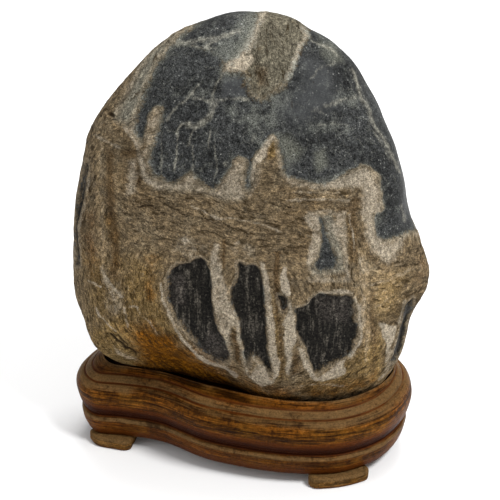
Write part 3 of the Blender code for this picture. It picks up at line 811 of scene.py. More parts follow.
class Finish:
    """One material, and short ways to add its nodes and join them."""

    def __init__(self, name):
        self.material = bpy.data.materials.new(name)
        self.material.use_nodes = True
        self.tree = self.material.node_tree
        self.shader = self.tree.nodes["Principled BSDF"]
        self.place = self.node("ShaderNodeTexCoord").outputs["Object"]

    def node(self, kind, inputs=None, **settings):
        """A node of that kind; an input is a number, a colour or another node's output."""
        made = self.tree.nodes.new(kind)
        for key, value in settings.items():
            setattr(made, key, value)
        for key, value in (inputs or {}).items():
            self.feed(made.inputs[key], value)
        return made

    def feed(self, socket, value):
        """Link or set one input."""
        if isinstance(value, bpy.types.NodeSocket):
            self.tree.links.new(value, socket)
        else:
            socket.default_value = value

    def value(self, name):
        """A number stored on the mesh."""
        return self.node("ShaderNodeAttribute", attribute_name=name).outputs["Fac"]

    def stretched(self, x, y, z):
        """Object coordinates scaled along each axis."""
        return self.node("ShaderNodeMapping", {"Vector": self.place, "Scale": (x, y, z)}
                         ).outputs["Vector"]

    def noise(self, size, detail=3.0, roughness=0.6, place=None, distortion=0.0):
        """Noise from 0 to 1 whose features are about `size` millimetres."""
        return self.node("ShaderNodeTexNoise", {
            "Vector": place or self.place, "Scale": 1 / (size * MM), "Detail": detail,
            "Roughness": roughness, "Distortion": distortion}).outputs["Fac"]

    def cells(self, size):
        """Distance to the nearest of scattered points about `size` millimetres apart."""
        return self.node("ShaderNodeTexVoronoi", {
            "Vector": self.place, "Scale": 1 / (size * MM)}).outputs["Distance"]

    def sum(self, a, b):
        """a + b."""
        return self.maths("ADD", a, b)

    def times(self, a, b):
        """a times b."""
        return self.maths("MULTIPLY", a, b)

    def maths(self, operation, a, b=0.0):
        """One arithmetic step."""
        made = self.node("ShaderNodeMath", operation=operation)
        self.feed(made.inputs[0], a)
        self.feed(made.inputs[1], b)
        return made.outputs[0]

    def unsettled(self, value, *noises):
        """A value that (noise, amount) pairs move up and down, half an amount each way."""
        for noise, amount in noises:
            value = self.sum(value, self.times(self.sum(noise, -0.5), amount))
        return value

    def span(self, value, low, high, to_low, to_high, **settings):
        """Value moved from the range low to high on to another range."""
        return self.node("ShaderNodeMapRange", {
            "Value": value, "From Min": low, "From Max": high, "To Min": to_low,
            "To Max": to_high}, **settings).outputs["Result"]

    def step(self, value, low, high, to_low=0.0, to_high=1.0):
        """Smooth step of value from low to high."""
        return self.span(value, low, high, to_low, to_high, interpolation_type="SMOOTHSTEP")

    def mix(self, share, under, over, blend="MIX"):
        """Two colours; share 0 gives under, and 1 over."""
        made = self.node("ShaderNodeMix", data_type="RGBA", blend_type=blend)
        self.feed(made.inputs["Factor"], share)
        for key, colour in (("A", under), ("B", over)):
            socket = next(s for s in made.inputs if s.name == key and s.type == "RGBA")
            if not isinstance(colour, bpy.types.NodeSocket):
                colour = (*colour[:3], 1)
            self.feed(socket, colour)
        return next(s for s in made.outputs if s.type == "RGBA")

    def coat(self, colour, over, value, low, high, most=1.0):
        """A colour with another over it, from nothing at low to the share `most` at high."""
        return self.mix(self.step(value, low, high, 0.0, most), colour, over)

    def sway(self, value, amount):
        """1 where a noise is at its middle, and up to `amount` more or less at its ends."""
        return self.span(value, *NOISE_REACH, 1 - amount, 1 + amount)

    def toned(self, colour, *tones):
        """A colour times each of the tones."""
        for tone in tones:
            colour = self.mix(1.0, colour, tone, "MULTIPLY")
        return colour

    def threads(self, value, width):
        """1 along the lines where a noise passes its middle, and 0 from `width` away."""
        return self.step(self.maths("ABSOLUTE", self.sum(value, -0.5)), width, 0.0)

    def layered(self, size, detail, roughness, stretch, distortion):
        """Noise drawn out along the stored layers: the rings, or the slopes where they lie."""
        drawn = self.stretched(stretch, stretch, stretch)
        both = [self.node("ShaderNodeTexNoise", {
            "Vector": drawn, "W": self.value(name), "Scale": 1 / (size * MM), "Detail": detail,
            "Roughness": roughness, "Distortion": distortion},
            noise_dimensions="4D").outputs["Fac"] for name in ("ring", "slope")]
        return self.node("ShaderNodeMix", {
            "Factor": self.value("sloping"), "A": both[0], "B": both[1]}).outputs["Result"]

    def bump(self, height, strength, distance, under=None):
        """A bump of that many millimetres at full height."""
        made = self.node("ShaderNodeBump", {"Height": height, "Strength": strength,
                                            "Distance": distance * MM})
        if under is not None:
            self.feed(made.inputs["Normal"], under)
        return made.outputs["Normal"]

    def finish(self, colour, roughness, normal, gleam):
        """Feed the shader; gleam is the strength of its reflections."""
        self.shader.inputs["Specular IOR Level"].default_value = gleam
        self.feed(self.shader.inputs["Base Color"], colour)
        self.feed(self.shader.inputs["Roughness"], roughness)
        self.feed(self.shader.inputs["Normal"], normal)
        return self.material


def tint(colour, factor):
    """A colour made lighter or darker."""
    return tuple(min(1.0, c * factor) for c in colour)


def stone_finish(settings):
    """Crust, slate, pale mineral, ochre stain and cracks with painted shade in them, laid over each
    other, with a painted sheen on the hood's shoulder.
    """
    f = Finish("stone_finish")
    grain = f.noise(0.55, 2, 0.6)
    fine = f.noise(1.25, 3, 0.65)
    grit = f.noise(2.6, 4, 0.7)
    patch = f.noise(8, 4, 0.65)
    broad = f.noise(26, 3, 0.55)
    specks = f.cells(1.6)
    streaks = f.noise(1.7, 4, 0.65, place=f.stretched(1, 1, 0.12))
    layers = f.layered(1.6, 4, 0.66, 0.26, 0.7)
    fingers = f.layered(1.0, 3, 0.6, 0.5, 1.3)
    seams = f.layered(4.6, 5, 0.62, 0.30, 0.5)
    curls = f.layered(5.5, 5, 0.62, 0.55, 0.9)
    # Fine cracks along the seams, painted dark as the shade inside them.
    crack_shade = f.times(f.threads(seams, 0.014), f.step(patch, 0.42, 0.58))
    vein = f.times(f.threads(curls, 0.018), f.step(grit, 0.40, 0.55))

    ragged = f.times(f.sum(f.sum(grit, patch), -1.0), 7.0)
    ragged = f.unsettled(ragged, (fine, 4.0))
    slate_depth = f.sum(f.value("slate"), ragged)
    slate = f.step(slate_depth, -1.3, 1.3)
    sunk = f.step(f.value("sunk"), 0.2, 0.8)

    # The crust: bands, stains, films and flecks.
    crust = f.mix(f.step(layers, 0.38, 0.62), tint(settings.crust, 0.68), tint(settings.crust, 1.32))
    crust = f.coat(crust, MINERALS_SHEEN_AND_SHADE["bleached"], patch, 0.48, 0.66, 0.45)
    crust = f.coat(crust, MINERALS_SHEEN_AND_SHADE["earth"], broad, 0.50, 0.66, 0.4)
    crust = f.mix(f.value("olive"), crust, MINERALS_SHEEN_AND_SHADE["olive"])
    gold = f.mix(layers, MINERALS_SHEEN_AND_SHADE["dull gold"], MINERALS_SHEEN_AND_SHADE["bright gold"])
    crust = f.coat(crust, gold, f.unsettled(f.value("gold"), (patch, 1.2)), 0.05, 0.9, 0.9)
    crust = f.coat(crust, MINERALS_SHEEN_AND_SHADE["brown"], f.value("brown"), 0.1, 0.9)
    ochre = f.mix(f.step(layers, 0.40, 0.60), tint(settings.ochre, 0.6), tint(settings.ochre, 1.3))
    ochre_share = f.unsettled(f.value("ochre"), (patch, 1.0))
    crust = f.coat(crust, ochre, ochre_share, 0.10, 0.80)
    crust = f.mix(f.value("sage"), crust, MINERALS_SHEEN_AND_SHADE["sage"])
    crust = f.toned(crust, f.sway(grain, 0.45), f.step(fingers, 0.38, 0.62, 0.68, 1.18),
                    f.sway(fine, 0.36), f.sway(grit, 0.34))
    flecks = f.times(f.step(fingers, 0.54, 0.70, 0.0, 0.38), f.step(ochre_share, 0.7, 0.1))
    crust = f.mix(flecks, crust, MINERALS_SHEEN_AND_SHADE["fleck"])
    lifted = f.toned(crust, LIGHT_PATCH)
    crust = f.coat(crust, lifted, f.unsettled(f.value("light"), (grit, 0.6)), 0.0, 1.0)
    crust = f.mix(f.times(vein, 0.8), crust, lifted)
    crust = f.coat(crust, MINERALS_SHEEN_AND_SHADE["dark layer"], layers, 0.44, 0.37, 0.8)

    # The slate: the hood with its films, web and dust, and the streaked windows.
    hood = f.toned(settings.slate, f.sway(fine, 0.55), f.sway(grit, 0.5), f.sway(broad, 0.4))
    film = f.unsettled(f.times(f.value("olive"), 1.1), (patch, 2.5), (grit, 1.0))
    hood = f.coat(hood, MINERALS_SHEEN_AND_SHADE["hood film"], film, 0.12, 0.85, 0.8)
    hood = f.mix(f.times(f.value("sage"), 0.8), hood, MINERALS_SHEEN_AND_SHADE["hood sage"])
    web = f.threads(f.noise(13, 4, 0.6, distortion=0.4), 0.010)
    hood = f.mix(f.times(web, 0.35), hood, MINERALS_SHEEN_AND_SHADE["hood web"])
    dust = f.times(f.step(specks, 0.30, 0.08), f.step(grit, 0.46, 0.60))
    hood = f.mix(f.times(dust, 0.75), hood, MINERALS_SHEEN_AND_SHADE["hood dust"])
    hood = f.toned(hood, f.sway(grain, 0.8))
    # Painted sheen: lighter grey on the hood's shoulder and beside the horn, along with the hood's own
    # grey patches.
    grey = f.unsettled(f.value("grey"), (patch, 0.8))
    hood = f.coat(hood, MINERALS_SHEEN_AND_SHADE["hood grey and sheen"], grey, 0.1, 0.9, 0.5)
    window = f.coat(settings.window, MINERALS_SHEEN_AND_SHADE["window streak"], streaks, 0.47, 0.70)
    window = f.mix(f.times(f.value("grey"), 0.8), window, MINERALS_SHEEN_AND_SHADE["window grey"])
    window = f.mix(f.times(dust, 0.4), window, MINERALS_SHEEN_AND_SHADE["window dust"])
    window = f.toned(window, f.step(fine, 0.38, 0.62, 0.45, 1.6), f.sway(grain, 0.8))
    colour = f.mix(slate, crust, f.mix(sunk, hood, window))

    # Pale mineral over both, and along the windows' edges.
    edging = f.step(f.maths("ABSOLUTE", f.sum(slate_depth, 2.2)), 2.2, 0.8)
    edging = f.times(edging, f.times(f.value("edging"), 0.3))
    pale_share = f.unsettled(f.value("pale"), (grit, 0.9), (patch, 0.7))
    pale_share = f.maths("MAXIMUM", f.step(pale_share, 0.16, 0.80, 0.0, 0.9), edging)
    pale_share = f.times(pale_share, f.step(f.times(slate, sunk), 0.2, 0.7, 1.0, 0.0))
    pale = f.coat(settings.pale, tint(settings.pale, 0.8), patch, 0.46, 0.62)
    pale = f.mix(f.times(slate, 0.85), pale, MINERALS_SHEEN_AND_SHADE["pale on slate"])
    pale = f.toned(pale, f.sway(grain, 0.5), f.step(fine, 0.38, 0.62, 0.70, 1.30),
                   f.sway(streaks, 0.18))
    pale = f.coat(pale, MINERALS_SHEEN_AND_SHADE["soiled pale"], grit, 0.46, 0.36, 0.4)
    colour = f.mix(pale_share, colour, pale)

    # Painted shade: the drawn cracks, folds, holes and crevice, and the fine cracks, darkened as if
    # shadowed.
    dark_share = f.step(f.unsettled(f.value("dark"), (fine, 0.5)), 0.25, 0.75, 0.0, 0.92)
    on_crust = f.step(f.sum(slate, pale_share), 0.6, 0.1)
    dark_share = f.maths("MAXIMUM", dark_share, f.times(f.times(crack_shade, on_crust), 0.75))
    colour = f.mix(dark_share, colour, MINERALS_SHEEN_AND_SHADE["crack_shade"])

    roughness = f.span(f.unsettled(slate, (fine, -0.6)), 0.0, 1.0, 0.9, 0.48)
    grains = f.sum(f.times(fine, 0.8), f.times(grit, 0.9))
    normal = f.bump(f.times(grains, f.step(slate, 0, 1, 1.0, 0.22)), 1.0, 0.7)
    normal = f.bump(layers, f.step(slate, 0, 1, 1.0, 0.0), 1.4, under=normal)
    normal = f.bump(dark_share, 0.8, -0.35, under=normal)
    return f.finish(colour, roughness, normal, 0.05)


def wood_finish(name, wood, settings, surface):
    """Old waxed hardwood, drawn out along the moulding, with painted shade in the hollows, and pale with
    wear and a painted highlight.
    """
    f = Finish(name)
    dark, worn_and_lit = settings.shade_and_scratch_wood, settings.worn_and_lit_wood
    roughness, speckle = surface
    run = f.node("ShaderNodeCombineXYZ", {
        "X": f.times(f.value("run"), 0.06), "Y": f.value("girth")}).outputs["Vector"]
    grain = f.noise(0.9, 4, 0.68, place=run, distortion=0.3)
    bands = f.noise(3.4, 4, 0.6, place=run, distortion=0.5)
    scratches = f.noise(0.45, 3, 0.6, place=run)
    grime = f.noise(13, 4, 0.62)
    grit = f.noise(2.4, 3, 0.65)
    fine = f.noise(0.8, 3, 0.7)
    colour = f.mix(f.step(bands, 0.40, 0.60), tint(wood, 0.40), tint(wood, 1.44))
    colour = f.coat(colour, WAX, grime, 0.46, 0.66, 0.6)
    colour = f.toned(colour, f.sway(grain, 0.85), f.sway(grit, 0.25))
    # Wear, with painted highlights on the lit shoulders and edges of the moulding and the feet.
    worn_and_lit_share = f.unsettled(f.value("worn_and_lit"), (grime, 1.0), (grain, 1.2))
    colour = f.coat(colour, worn_and_lit, worn_and_lit_share, 0.22, 0.95, 0.85)
    colour = f.coat(colour, tint(dark, 0.7), scratches, 0.40, 0.28, 0.75)
    colour = f.coat(colour, tint(worn_and_lit, 1.2), scratches, 0.64, 0.76, 0.4)
    colour = f.coat(colour, tint(wood, 0.3), f.sum(grime, grit), 0.92, 0.76, 0.55)
    # Painted shade: reddened and darkened in the cove, on the lower band, in the grooves and under the
    # stone.
    shade_share = f.unsettled(f.value("shade"), (fine, 0.35), (bands, 0.4))
    colour = f.coat(colour, WOOD_SHADE, shade_share, 0.05, 0.45, 0.8)
    colour = f.coat(colour, dark, shade_share, 0.30, 0.95, 0.96)
    colour = f.toned(colour, f.sway(fine, speckle), f.sway(grit, speckle - 0.2))
    gloss = f.span(f.sum(grime, f.times(fine, 0.3)), 0.3, 0.9, roughness - 0.12, roughness + 0.12)
    normal = f.bump(f.sum(f.times(scratches, 0.7), f.times(grain, 0.8)), 0.9, 0.35)
    normal = f.bump(f.sum(fine, grit), 0.5, 0.25, under=normal)
    return f.finish(colour, gloss, normal, 0.035)


# ---------------------------------------------------------------- stone
# Rows of the stone's grid are spread by the length of its side, sampled at these angles.
PROFILE_ANGLES = (0.5, 3.5, 4.7)
PROFILE_SAMPLES = 1200
BED_SHARE = 0.13                 # the part of v that lies on the bed
BED_ROWS = 0.25                  # and how closely the rows stand there
# Depths to edges are in sheet units.
EDGE_REACH = 12                  # beyond this an edge counts no further
FAR_OUTSIDE = -99.0
SHEET_PER_MM = 1.4               # about how many sheet units the back's hood counts for 1 mm
CREVICE_REACH = 3.2
RIM_PALE = 0.46                  # pale mineral round the hood
MARGIN_SAGE = 0.55               # sage film along the hood's edge
TURN_WIDTH = 0.16                # how gradually the face turns into the back
# The back's stains: start, height, size and seed of the noise, and the most it may reach.
BACK_STAINS = {
    "olive": (0.15, 0.5, 34, 33, 0.6), "brown": (0, 0.8, 22, 34, 0.6),
    "grey": (0, 0.5, 40, 35, 0.4), "sage": (0, 0.5, 30, 38, 0.4),
    "light": (0, 0.9, 24, 39, 0.6),
}
# Stains that fade upwards: height where they end, the height they fade over, and the most.
BACK_FOOT_STAINS = {"ochre": (80, 60, 0.6), "gold": (110, 70, 0.7)}
# Relief, in mm.
PALE_RISE = 0.18
CRACK_CUT = 0.45
CREVICE_CUT = 0.7
SMOOTH_BED = 12                  # height over the bed that stays smooth, to meet the stand


def stone_form(theta, v):
    """Points of the plain boulder.

    A superellipse in plan whose reach on each side follows that side's profile, so that
    x = reach(v) |cos|^(2/n) and y = reach(v) |sin|^(2/n), then skewed, leant and lumped.
    """
    left, right, front, back = (open_spline(side, v)
                                for side in (LEFT_SIDE, RIGHT_SIDE, FRONT_SIDE, BACK_SIDE))
    c, s = np.cos(theta), np.sin(theta)
    side = np.where((c >= 0)[..., None], right, left)
    end = np.where((s >= 0)[..., None], back, front)
    z = side[..., 1] * c * c + end[..., 1] * s * s
    power = 2 / by_height(z, SQUARENESS)
    x = side[..., 0] * np.sign(c) * np.abs(c) ** power
    y = end[..., 0] * np.sign(s) * np.abs(s) ** power
    y = y + by_height(z, SKEW) * x + by_height(z, LEAN)
    p = np.stack([x, y, z], -1)
    for place, radius, push in LUMPS.values():
        near = np.exp(-((p - place) ** 2).sum(-1) / radius ** 2)
        p = p + outwards(p) * (push * near)[..., None]
    return p


def outwards(p):
    """Unit direction from the stone's heart, flattened so that it is mostly level."""
    return unit((p - HEART) * (1, 1, 0.5))


def waves(p):
    """Sum of the sine waves at each point."""
    height = np.zeros(p.shape[:-1])
    for length, rise, direction, phase in WAVES:
        height += rise * np.sin(TURN / length * (p @ unit(np.array(direction))) + phase)
    return height


def even_rows(count):
    """Values of v whose rows stand evenly far apart up the stone, with few on its bed."""
    v = np.linspace(0, 1, PROFILE_SAMPLES)
    side = np.array([stone_form(np.full_like(v, angle), v) for angle in PROFILE_ANGLES])
    steps = np.linalg.norm(np.diff(side, axis=1), axis=2).mean(0)
    steps *= np.where(v[1:] < BED_SHARE, BED_ROWS, 1.0)
    length = np.concatenate([[0], np.cumsum(steps)])
    return np.interp(np.linspace(0, length[-1], count + 2)[1:-1], length, v)


def stone_grid(settings):
    """Angles and heights of the grid, with the columns closer together on the face."""
    turn = np.arange(settings.columns) / settings.columns * TURN - math.pi
    theta = 1.5 * math.pi + turn - settings.front_share * np.sin(turn)
    v = even_rows(settings.rows)
    return np.meshgrid(theta, v)


def grid_normals(points):
    """Outward unit normals of a grid that is closed round each row."""
    across = np.roll(points, -1, 1) - np.roll(points, 1, 1)
    up = np.gradient(points, axis=0)
    return unit(np.cross(across, up))


def camera_frame(settings):
    """The camera's place and its right, up and forward directions, in metres."""
    e = settings.elevation
    forward = np.array([0, math.cos(e), -math.sin(e)])
    up = np.array([0, math.sin(e), math.cos(e)])
    right = np.array([1.0, 0, 0])
    target = np.array([AXIS[0] * MM, AXIS[1] * MM, settings.target_height])
    return target - settings.distance * forward, right, up, forward


def on_sheet(points, studio):
    """Sheet places of points in mm, and the unit directions from them to the sheet's eye."""
    eye, right, up, forward = camera_frame(studio)
    q = points * MM - eye
    scale = SHEET * studio.lens / SENSOR / (q @ forward)
    sheet = np.stack([SHEET_MIDDLE + scale * (q @ right), SHEET_MIDDLE - scale * (q @ up)], -1)
    return sheet, -unit(q)


def back_slate(p):
    """Depth into the slate round the back, in sheet units, from the hood's edge and windows."""
    angle = np.degrees(np.arctan2(p[:, 1] - by_height(p[:, 2], LEAN), p[:, 0])) % 360
    edge = np.array(HOOD_EDGE + [(360, HOOD_EDGE[0][1])], float)
    hood = (p[:, 2] + uneven(p, "back hood edge") - np.interp(angle, *edge.T)) * SHEET_PER_MM
    window = np.full(len(p), FAR_OUTSIDE)
    for (wx, wz), half_width, half_height, lean in BACK_WINDOWS.values():
        dz = (p[:, 2] - wz) / half_height
        dx = (p[:, 0] - wx - lean * (p[:, 2] - wz)) / half_width
        reach = uneven(p, "back window edge", 1 - np.sqrt(dx ** 2 + dz ** 4))
        window = np.maximum(window, reach * half_width * 2)
    window = np.where(p[:, 1] > by_height(p[:, 2], LEAN), window, FAR_OUTSIDE)
    return hood, window


def back_marks(p, slate, window):
    """The plainer markings round the back, from noises and heights."""
    marks = {name: np.clip(start + height * rough(p, size, seed), 0, most)
             for name, (start, height, size, seed, most) in BACK_STAINS.items()}
    for name, (top, fade, most) in BACK_FOOT_STAINS.items():
        marks[name] = np.clip((top - p[:, 2]) / fade, 0, most)
    vein = np.clip(1 - np.abs(rough(p * (1.4, 1, 0.6), 19, 31)) / 0.045, 0, 1)
    vein = vein * smooth_step(rough(p, 30, 32) / 0.2)
    rim = np.clip(1 - np.abs(slate + 4) / 5, 0, 1) * np.clip(0.4 + 0.5 * rough(p, 14, 40), 0, 0.8)
    marks["pale"] = np.maximum(rim, 0.5 * vein)
    marks["edging"] = np.clip(window / EDGE_REACH + 1, 0, 1)
    # Cracks round the back, painted dark as the shade inside them.
    crack_shade = np.clip(1 - np.abs(rough(p * (1, 1, 2.4), 16, 36)) / 0.03, 0, 1)
    marks["dark"] = 0.8 * crack_shade * (slate < -3) * (rough(p, 24, 37) > 0.15)
    marks["crevice"] = np.zeros(len(p))
    return marks


def face_marks(q, window):
    """The drawn markings of the face."""
    marks = {name: drawn_areas(q, areas) for name, areas in STAINS_SHEEN_AND_SHADOW.items()}
    marks["pale"] = np.maximum(marks["pale"], drawn_lines(q, PALE_LINES))
    marks["sage"] = marks["sage"] * (outline_depth(q, PANE) < -0.5)
    marks["edging"] = np.clip(window / EDGE_REACH + 1, 0, 1)
    marks["dark"] = drawn_lines(q, DARK_LINES)
    marks["crevice"] = np.exp(-(line_distance(q, DARK_LINES["crevice"][2]) / CREVICE_REACH) ** 2)
    return marks


def stone_marks(p, normals, studio):
    """Every marking's value at each point: the drawn face, turning into the plainer back."""
    sheet, to_eye = on_sheet(p + AXIS, studio)
    facing = (normals * to_eye).sum(-1)
    ragged = uneven(p, "turn to the back", 0.5)
    share = smooth_step((facing + 0.04 + TURN_WIDTH * ragged) / TURN_WIDTH)
    seen = share > 0
    w = share[seen]
    strayed = np.stack([uneven(p, "stray across"), uneven(p, "stray down")], -1)
    q = (sheet + strayed)[seen]

    def turned(back, drawn):
        """The back's values, turning into the drawn ones where the face is seen."""
        back[seen] = back[seen] * (1 - w) + drawn * w
        return back

    face_hood = np.max([outline_depth(q, o) for o in (HOOD, DARK_CROWN, PANE)], axis=0)
    face_window = np.max([outline_depth(q, o) for o in WINDOWS.values()], axis=0)
    hood, window = (
        turned(np.clip(back, -EDGE_REACH, EDGE_REACH), np.clip(drawn, -EDGE_REACH, EDGE_REACH))
        for back, drawn in zip(back_slate(p), (face_hood, face_window)))
    slate = np.maximum(hood, window)
    blurred = turned(np.zeros(len(p)), drawn_areas(q, BLURRED_AREAS))
    marks = {"slate": slate * (1 - blurred), "sunk": smooth_step(window / 4 + 0.5)}
    face = face_marks(q, face_window)
    for name, back in back_marks(p, slate, window).items():
        marks[name] = turned(back, face[name])

    rim = np.clip(1 - np.abs(slate + 4.0) / 6.0, 0, 1)
    margin = np.clip(1 - np.abs(slate + 0.5) / 3.5, 0, 1) * (hood >= window)
    on_saddle = np.zeros(len(p))
    on_saddle[seen] = outline_depth(q, SADDLE) > 0
    rim = rim * (window < hood) * (1 - 0.9 * on_saddle) * (1 - 0.6 * marks["sage"])
    marks["pale"] = np.maximum(marks["pale"], RIM_PALE * rim)
    marks["sage"] = np.maximum(marks["sage"], MARGIN_SAGE * margin)
    marks["ring"] = layer_rings(p) * MM
    marks["slope"] = layer_slopes(p) * MM
    marks["sloping"] = turned(np.zeros(len(p)), drawn_areas(q, SLOPING_AREAS))
    return marks


def layer_rings(p):
    """A number in mm that is the same all along one layer that rings the stone."""
    x, z = p[:, 0] - LAYER_MIDDLE[0], p[:, 2] - LAYER_MIDDLE[1]
    return uneven(p, "ring", np.hypot(x, z * LAYER_OVAL))


def layer_slopes(p):
    """A number in mm that is the same all along one sloping layer."""
    tilt = np.radians(by_height(p[:, 2], LAYER_TILTS))
    return uneven(p, "slope", p[:, 2] * np.cos(tilt) + p[:, 0] * np.sin(tilt))


def stone_relief(p, marks, settings):
    """Height of the finished surface over the plain boulder, in mm."""
    crusty = 1 - smooth_step(marks["slate"] / 4 + 0.5)
    height = waves(p) + uneven(p, "grit") * settings.grit / MM * (0.3 + 0.7 * crusty)
    for name, weight in (("ring", 1 - marks["sloping"]), ("slope", marks["sloping"])):
        drawn = np.stack([marks[name] / MM, 0.15 * (p[:, 0] + p[:, 1]), 0.15 * p[:, 2]], -1)
        height += weight * crusty * uneven(drawn, "layer relief")
    sunk = marks["sunk"] * (1 - crusty)
    height -= settings.hood_drop / MM * (1 - crusty) * (1 - sunk)
    height -= settings.window_drop / MM * sunk
    height += PALE_RISE * smooth_step(marks["pale"])
    height -= CRACK_CUT * smooth_step(marks["dark"])
    return height - CREVICE_CUT * marks["crevice"]


def build_stone(settings, studio):
    """The stone's surface from bed to top, with its markings stored on it."""
    theta, v = stone_grid(settings)
    plain = stone_form(theta, v)
    normals = grid_normals(plain)
    flat = plain.reshape(-1, 3)
    marks = stone_marks(flat, normals.reshape(-1, 3), studio)
    relief = stone_relief(flat, marks, settings).reshape(theta.shape)
    bedded = smooth_step((plain[..., 2] - BED_Z) / SMOOTH_BED)
    points = plain + outwards(plain) * (relief * bedded)[..., None]
    points[..., 2] = np.maximum(points[..., 2], BED_Z)
    points += AXIS
    bottom = points[0].mean(0)
    bottom[2] = BED_Z
    stone = grid_piece("stone", points, first=bottom, last=points[-1].mean(0))
    for name, value in marks.items():
        give_values(stone, name, value)
    stone.data.materials.append(stone_finish(settings))
    fit_in(stone, "rock")


# ---------------------------------------------------------------- stand
def ring_normals(ring):
    """Outward level normals of closed rings, from the points each side."""
    ahead = unit(np.roll(ring, -1, 0) - np.roll(ring, 1, 0))
    return np.column_stack([ahead[:, 1], -ahead[:, 0]])


def profile_points():
    """The moulding's section, as (inset, height) evenly spaced, stretch by stretch."""
    points = []
    for stretch in (LOWER_BAND, COVE, TORUS, STEP):
        p = np.array(stretch, float)
        p = np.vstack([2 * p[0] - p[1], p, 2 * p[-1] - p[-2]])
        for i in range(len(stretch) - 1):
            count = max(2, round(np.linalg.norm(p[i + 2] - p[i + 1]) / SECTION_STEP))
            f = (np.arange(count) / count)[:, None]
            points.append(catmull_rom(p[i], p[i + 1], p[i + 2], p[i + 3], f))
        points.append(p[-2][None])
    return np.vstack(points)


def groove_depth(inset, z):
    """How deep each groove is cut at a point of the section."""
    cut = 0
    for at, height, half_width, depth in GROOVES.values():
        away = np.hypot(inset - at, z - height)
        cut = cut + depth * np.clip(1 - away / half_width / GROOVE_TENT, 0, 1)
    return cut


def build_stand(settings):
    """The moulding carried round the rim, its lip, and the sunk floor under the stone.

    Each ring is the rim's outline moved inwards by the section's inset at that height. The lip
    is a second outline, and the wall and floor run on from it to a pole in the middle.
    """
    count = settings.columns
    s = np.arange(count) * len(RIM) / count
    outline = closed_spline([pair[0] for pair in RIM], s)
    normal = ring_normals(outline)
    lip = closed_spline([pair[1] for pair in RIM], s)
    lip_normal = ring_normals(lip)
    section = profile_points()
    heights = section[:, 1]
    depth = groove_depth(section[:, 0], heights)
    # Painted shade: the cove under the torus darkens, and the lower band darkens towards its underside,
    # where less light reaches.
    cove = smooth_step((heights - 16.9) / 0.5) * smooth_step((28 - heights) / 9)
    band = (0.2 + 0.36 * smooth_step((11 - heights) / 4)) * (heights < 14.2)
    # Wear, and a painted highlight on the torus's upper shoulder and along the lit top edge of the lower
    # band.
    worn_and_lit = (0.5 * smooth_step((heights - 31) / 4) + 0.2 * (heights > STEP[0][1])
            + 0.95 * np.exp(-((heights - 15.7) / 1.3) ** 2))

    base, base_z = outline - normal * STEP[-1][0], STEP[-1][1]
    under = outline - normal * LOWER_BAND[0][0]
    top, top_z = lip + lip_normal * LIP_ROUND, LIP_Z - LIP_ROUND / 2
    edge = lip - lip_normal * FLOOR_INSET
    middle = lip.mean(0)

    # Each row is a level ring, its height, its painted shade, and its wear with painted
    # highlight, from the underside's middle over the lip to the floor's middle.
    rows = [(under + (middle - under) * f, BASE_Z, 0.3, 0.0)
            for f in np.linspace(1, 0, UNDER_RINGS + 2)[1:-1]]
    rows += [(outline - normal * (inset + GROOVE_IN * cut), z - GROOVE_DOWN * cut, dim, rubbed_and_lit)
             for (inset, z), cut, dim, rubbed_and_lit in zip(section, depth, np.maximum(cove, band), worn_and_lit)]
    rows += [(base + (top - base) * f, base_z + (top_z - base_z) * f, 0.25 * (1 - f), 0.3 * f)
             for f in np.linspace(0, 1, RISE_RINGS + 1)[1:]]
    rows += [(lip + lip_normal * LIP_ROUND / 2 * (1 + math.cos(turn)),
              top_z + LIP_ROUND / 2 * math.sin(turn), 0.0, 0.45)
             for turn in np.linspace(0, math.pi, LIP_RINGS + 2)[1:-1]]
    # Painted shade: the wall and floor of the recess are darkened as though in the stone's shadow.
    rows += [(lip - lip_normal * FLOOR_INSET * f, top_z + (FLOOR_Z - top_z) * f, 0.75 + 0.2 * f, 0.0)
             for f in np.linspace(0, 1, WALL_RINGS)]
    rows += [(edge + (middle - edge) * f, FLOOR_Z, 0.7, 0.0)
             for f in np.linspace(0, 1, FLOOR_RINGS + 2)[1:-1]]
    rings, levels, shade, worn_and_lit = zip(*rows)

    points = np.stack([np.column_stack([q, np.full(count, z)]) for q, z in zip(rings, levels)])
    above = points[..., 2] > BASE_Z + 0.01
    last_carved = UNDER_RINGS + len(section) + RISE_RINGS + LIP_RINGS + CARVED_WALL_RINGS
    outside = (np.array(levels) > BASE_Z) & (np.arange(len(rows)) < last_carved)
    level = np.stack([ring_normals(ring[:, :2]) for ring in points])
    moved = settings.hand / MM * uneven(points, "carving") * above * outside[:, None]
    points[..., :2] += level * moved[..., None]
    drop = by_height(points[..., 2], TOP_FALL) * np.clip(-points[..., 0] / FALL_REACH, -1, 1)
    floor = np.isclose(points[..., 2], FLOOR_Z)
    points[..., 2] -= np.where(floor, 0, drop)
    points += AXIS
    first = np.append(middle, BASE_Z) + AXIS
    last = np.append(middle, FLOOR_Z) + AXIS
    stand = grid_piece("moulding", points, first=first, last=last)
    shade, worn_and_lit = (np.repeat(value, count).reshape(len(rows), count) for value in (shade, worn_and_lit))
    cut = slice(UNDER_RINGS, UNDER_RINGS + len(section))
    # Painted shade in the grooves, kept in patches along the run.
    groove = np.clip(depth * 1.8, 0, 1)
    kept = np.clip(uneven(points[cut], "groove shade", 0.62), 0, 1)
    shade[cut] = np.maximum(shade[cut], groove[:, None] * kept)
    give_values(stand, "shade", shade)
    # Painted highlight: the top grows lighter towards the right, where the key light falls, and on the
    # far left ring, which catches the light.
    to_right = smooth_step((points[..., 0] - AXIS[0] + 5) / 45)
    to_left = smooth_step((AXIS[0] - 48 - points[..., 0]) / 20)
    worn_and_lit += (0.25 * to_right + 0.4 * to_left) * smooth_step((points[..., 2] - 30) / 4) * (worn_and_lit > 0)
    give_values(stand, "worn_and_lit", worn_and_lit)
    give_run(stand, points)
    stand.data.materials.append(wood_finish("stand_finish", settings.wood, settings, STAND_SURFACE))
    fit_in(stand, "stand_body")


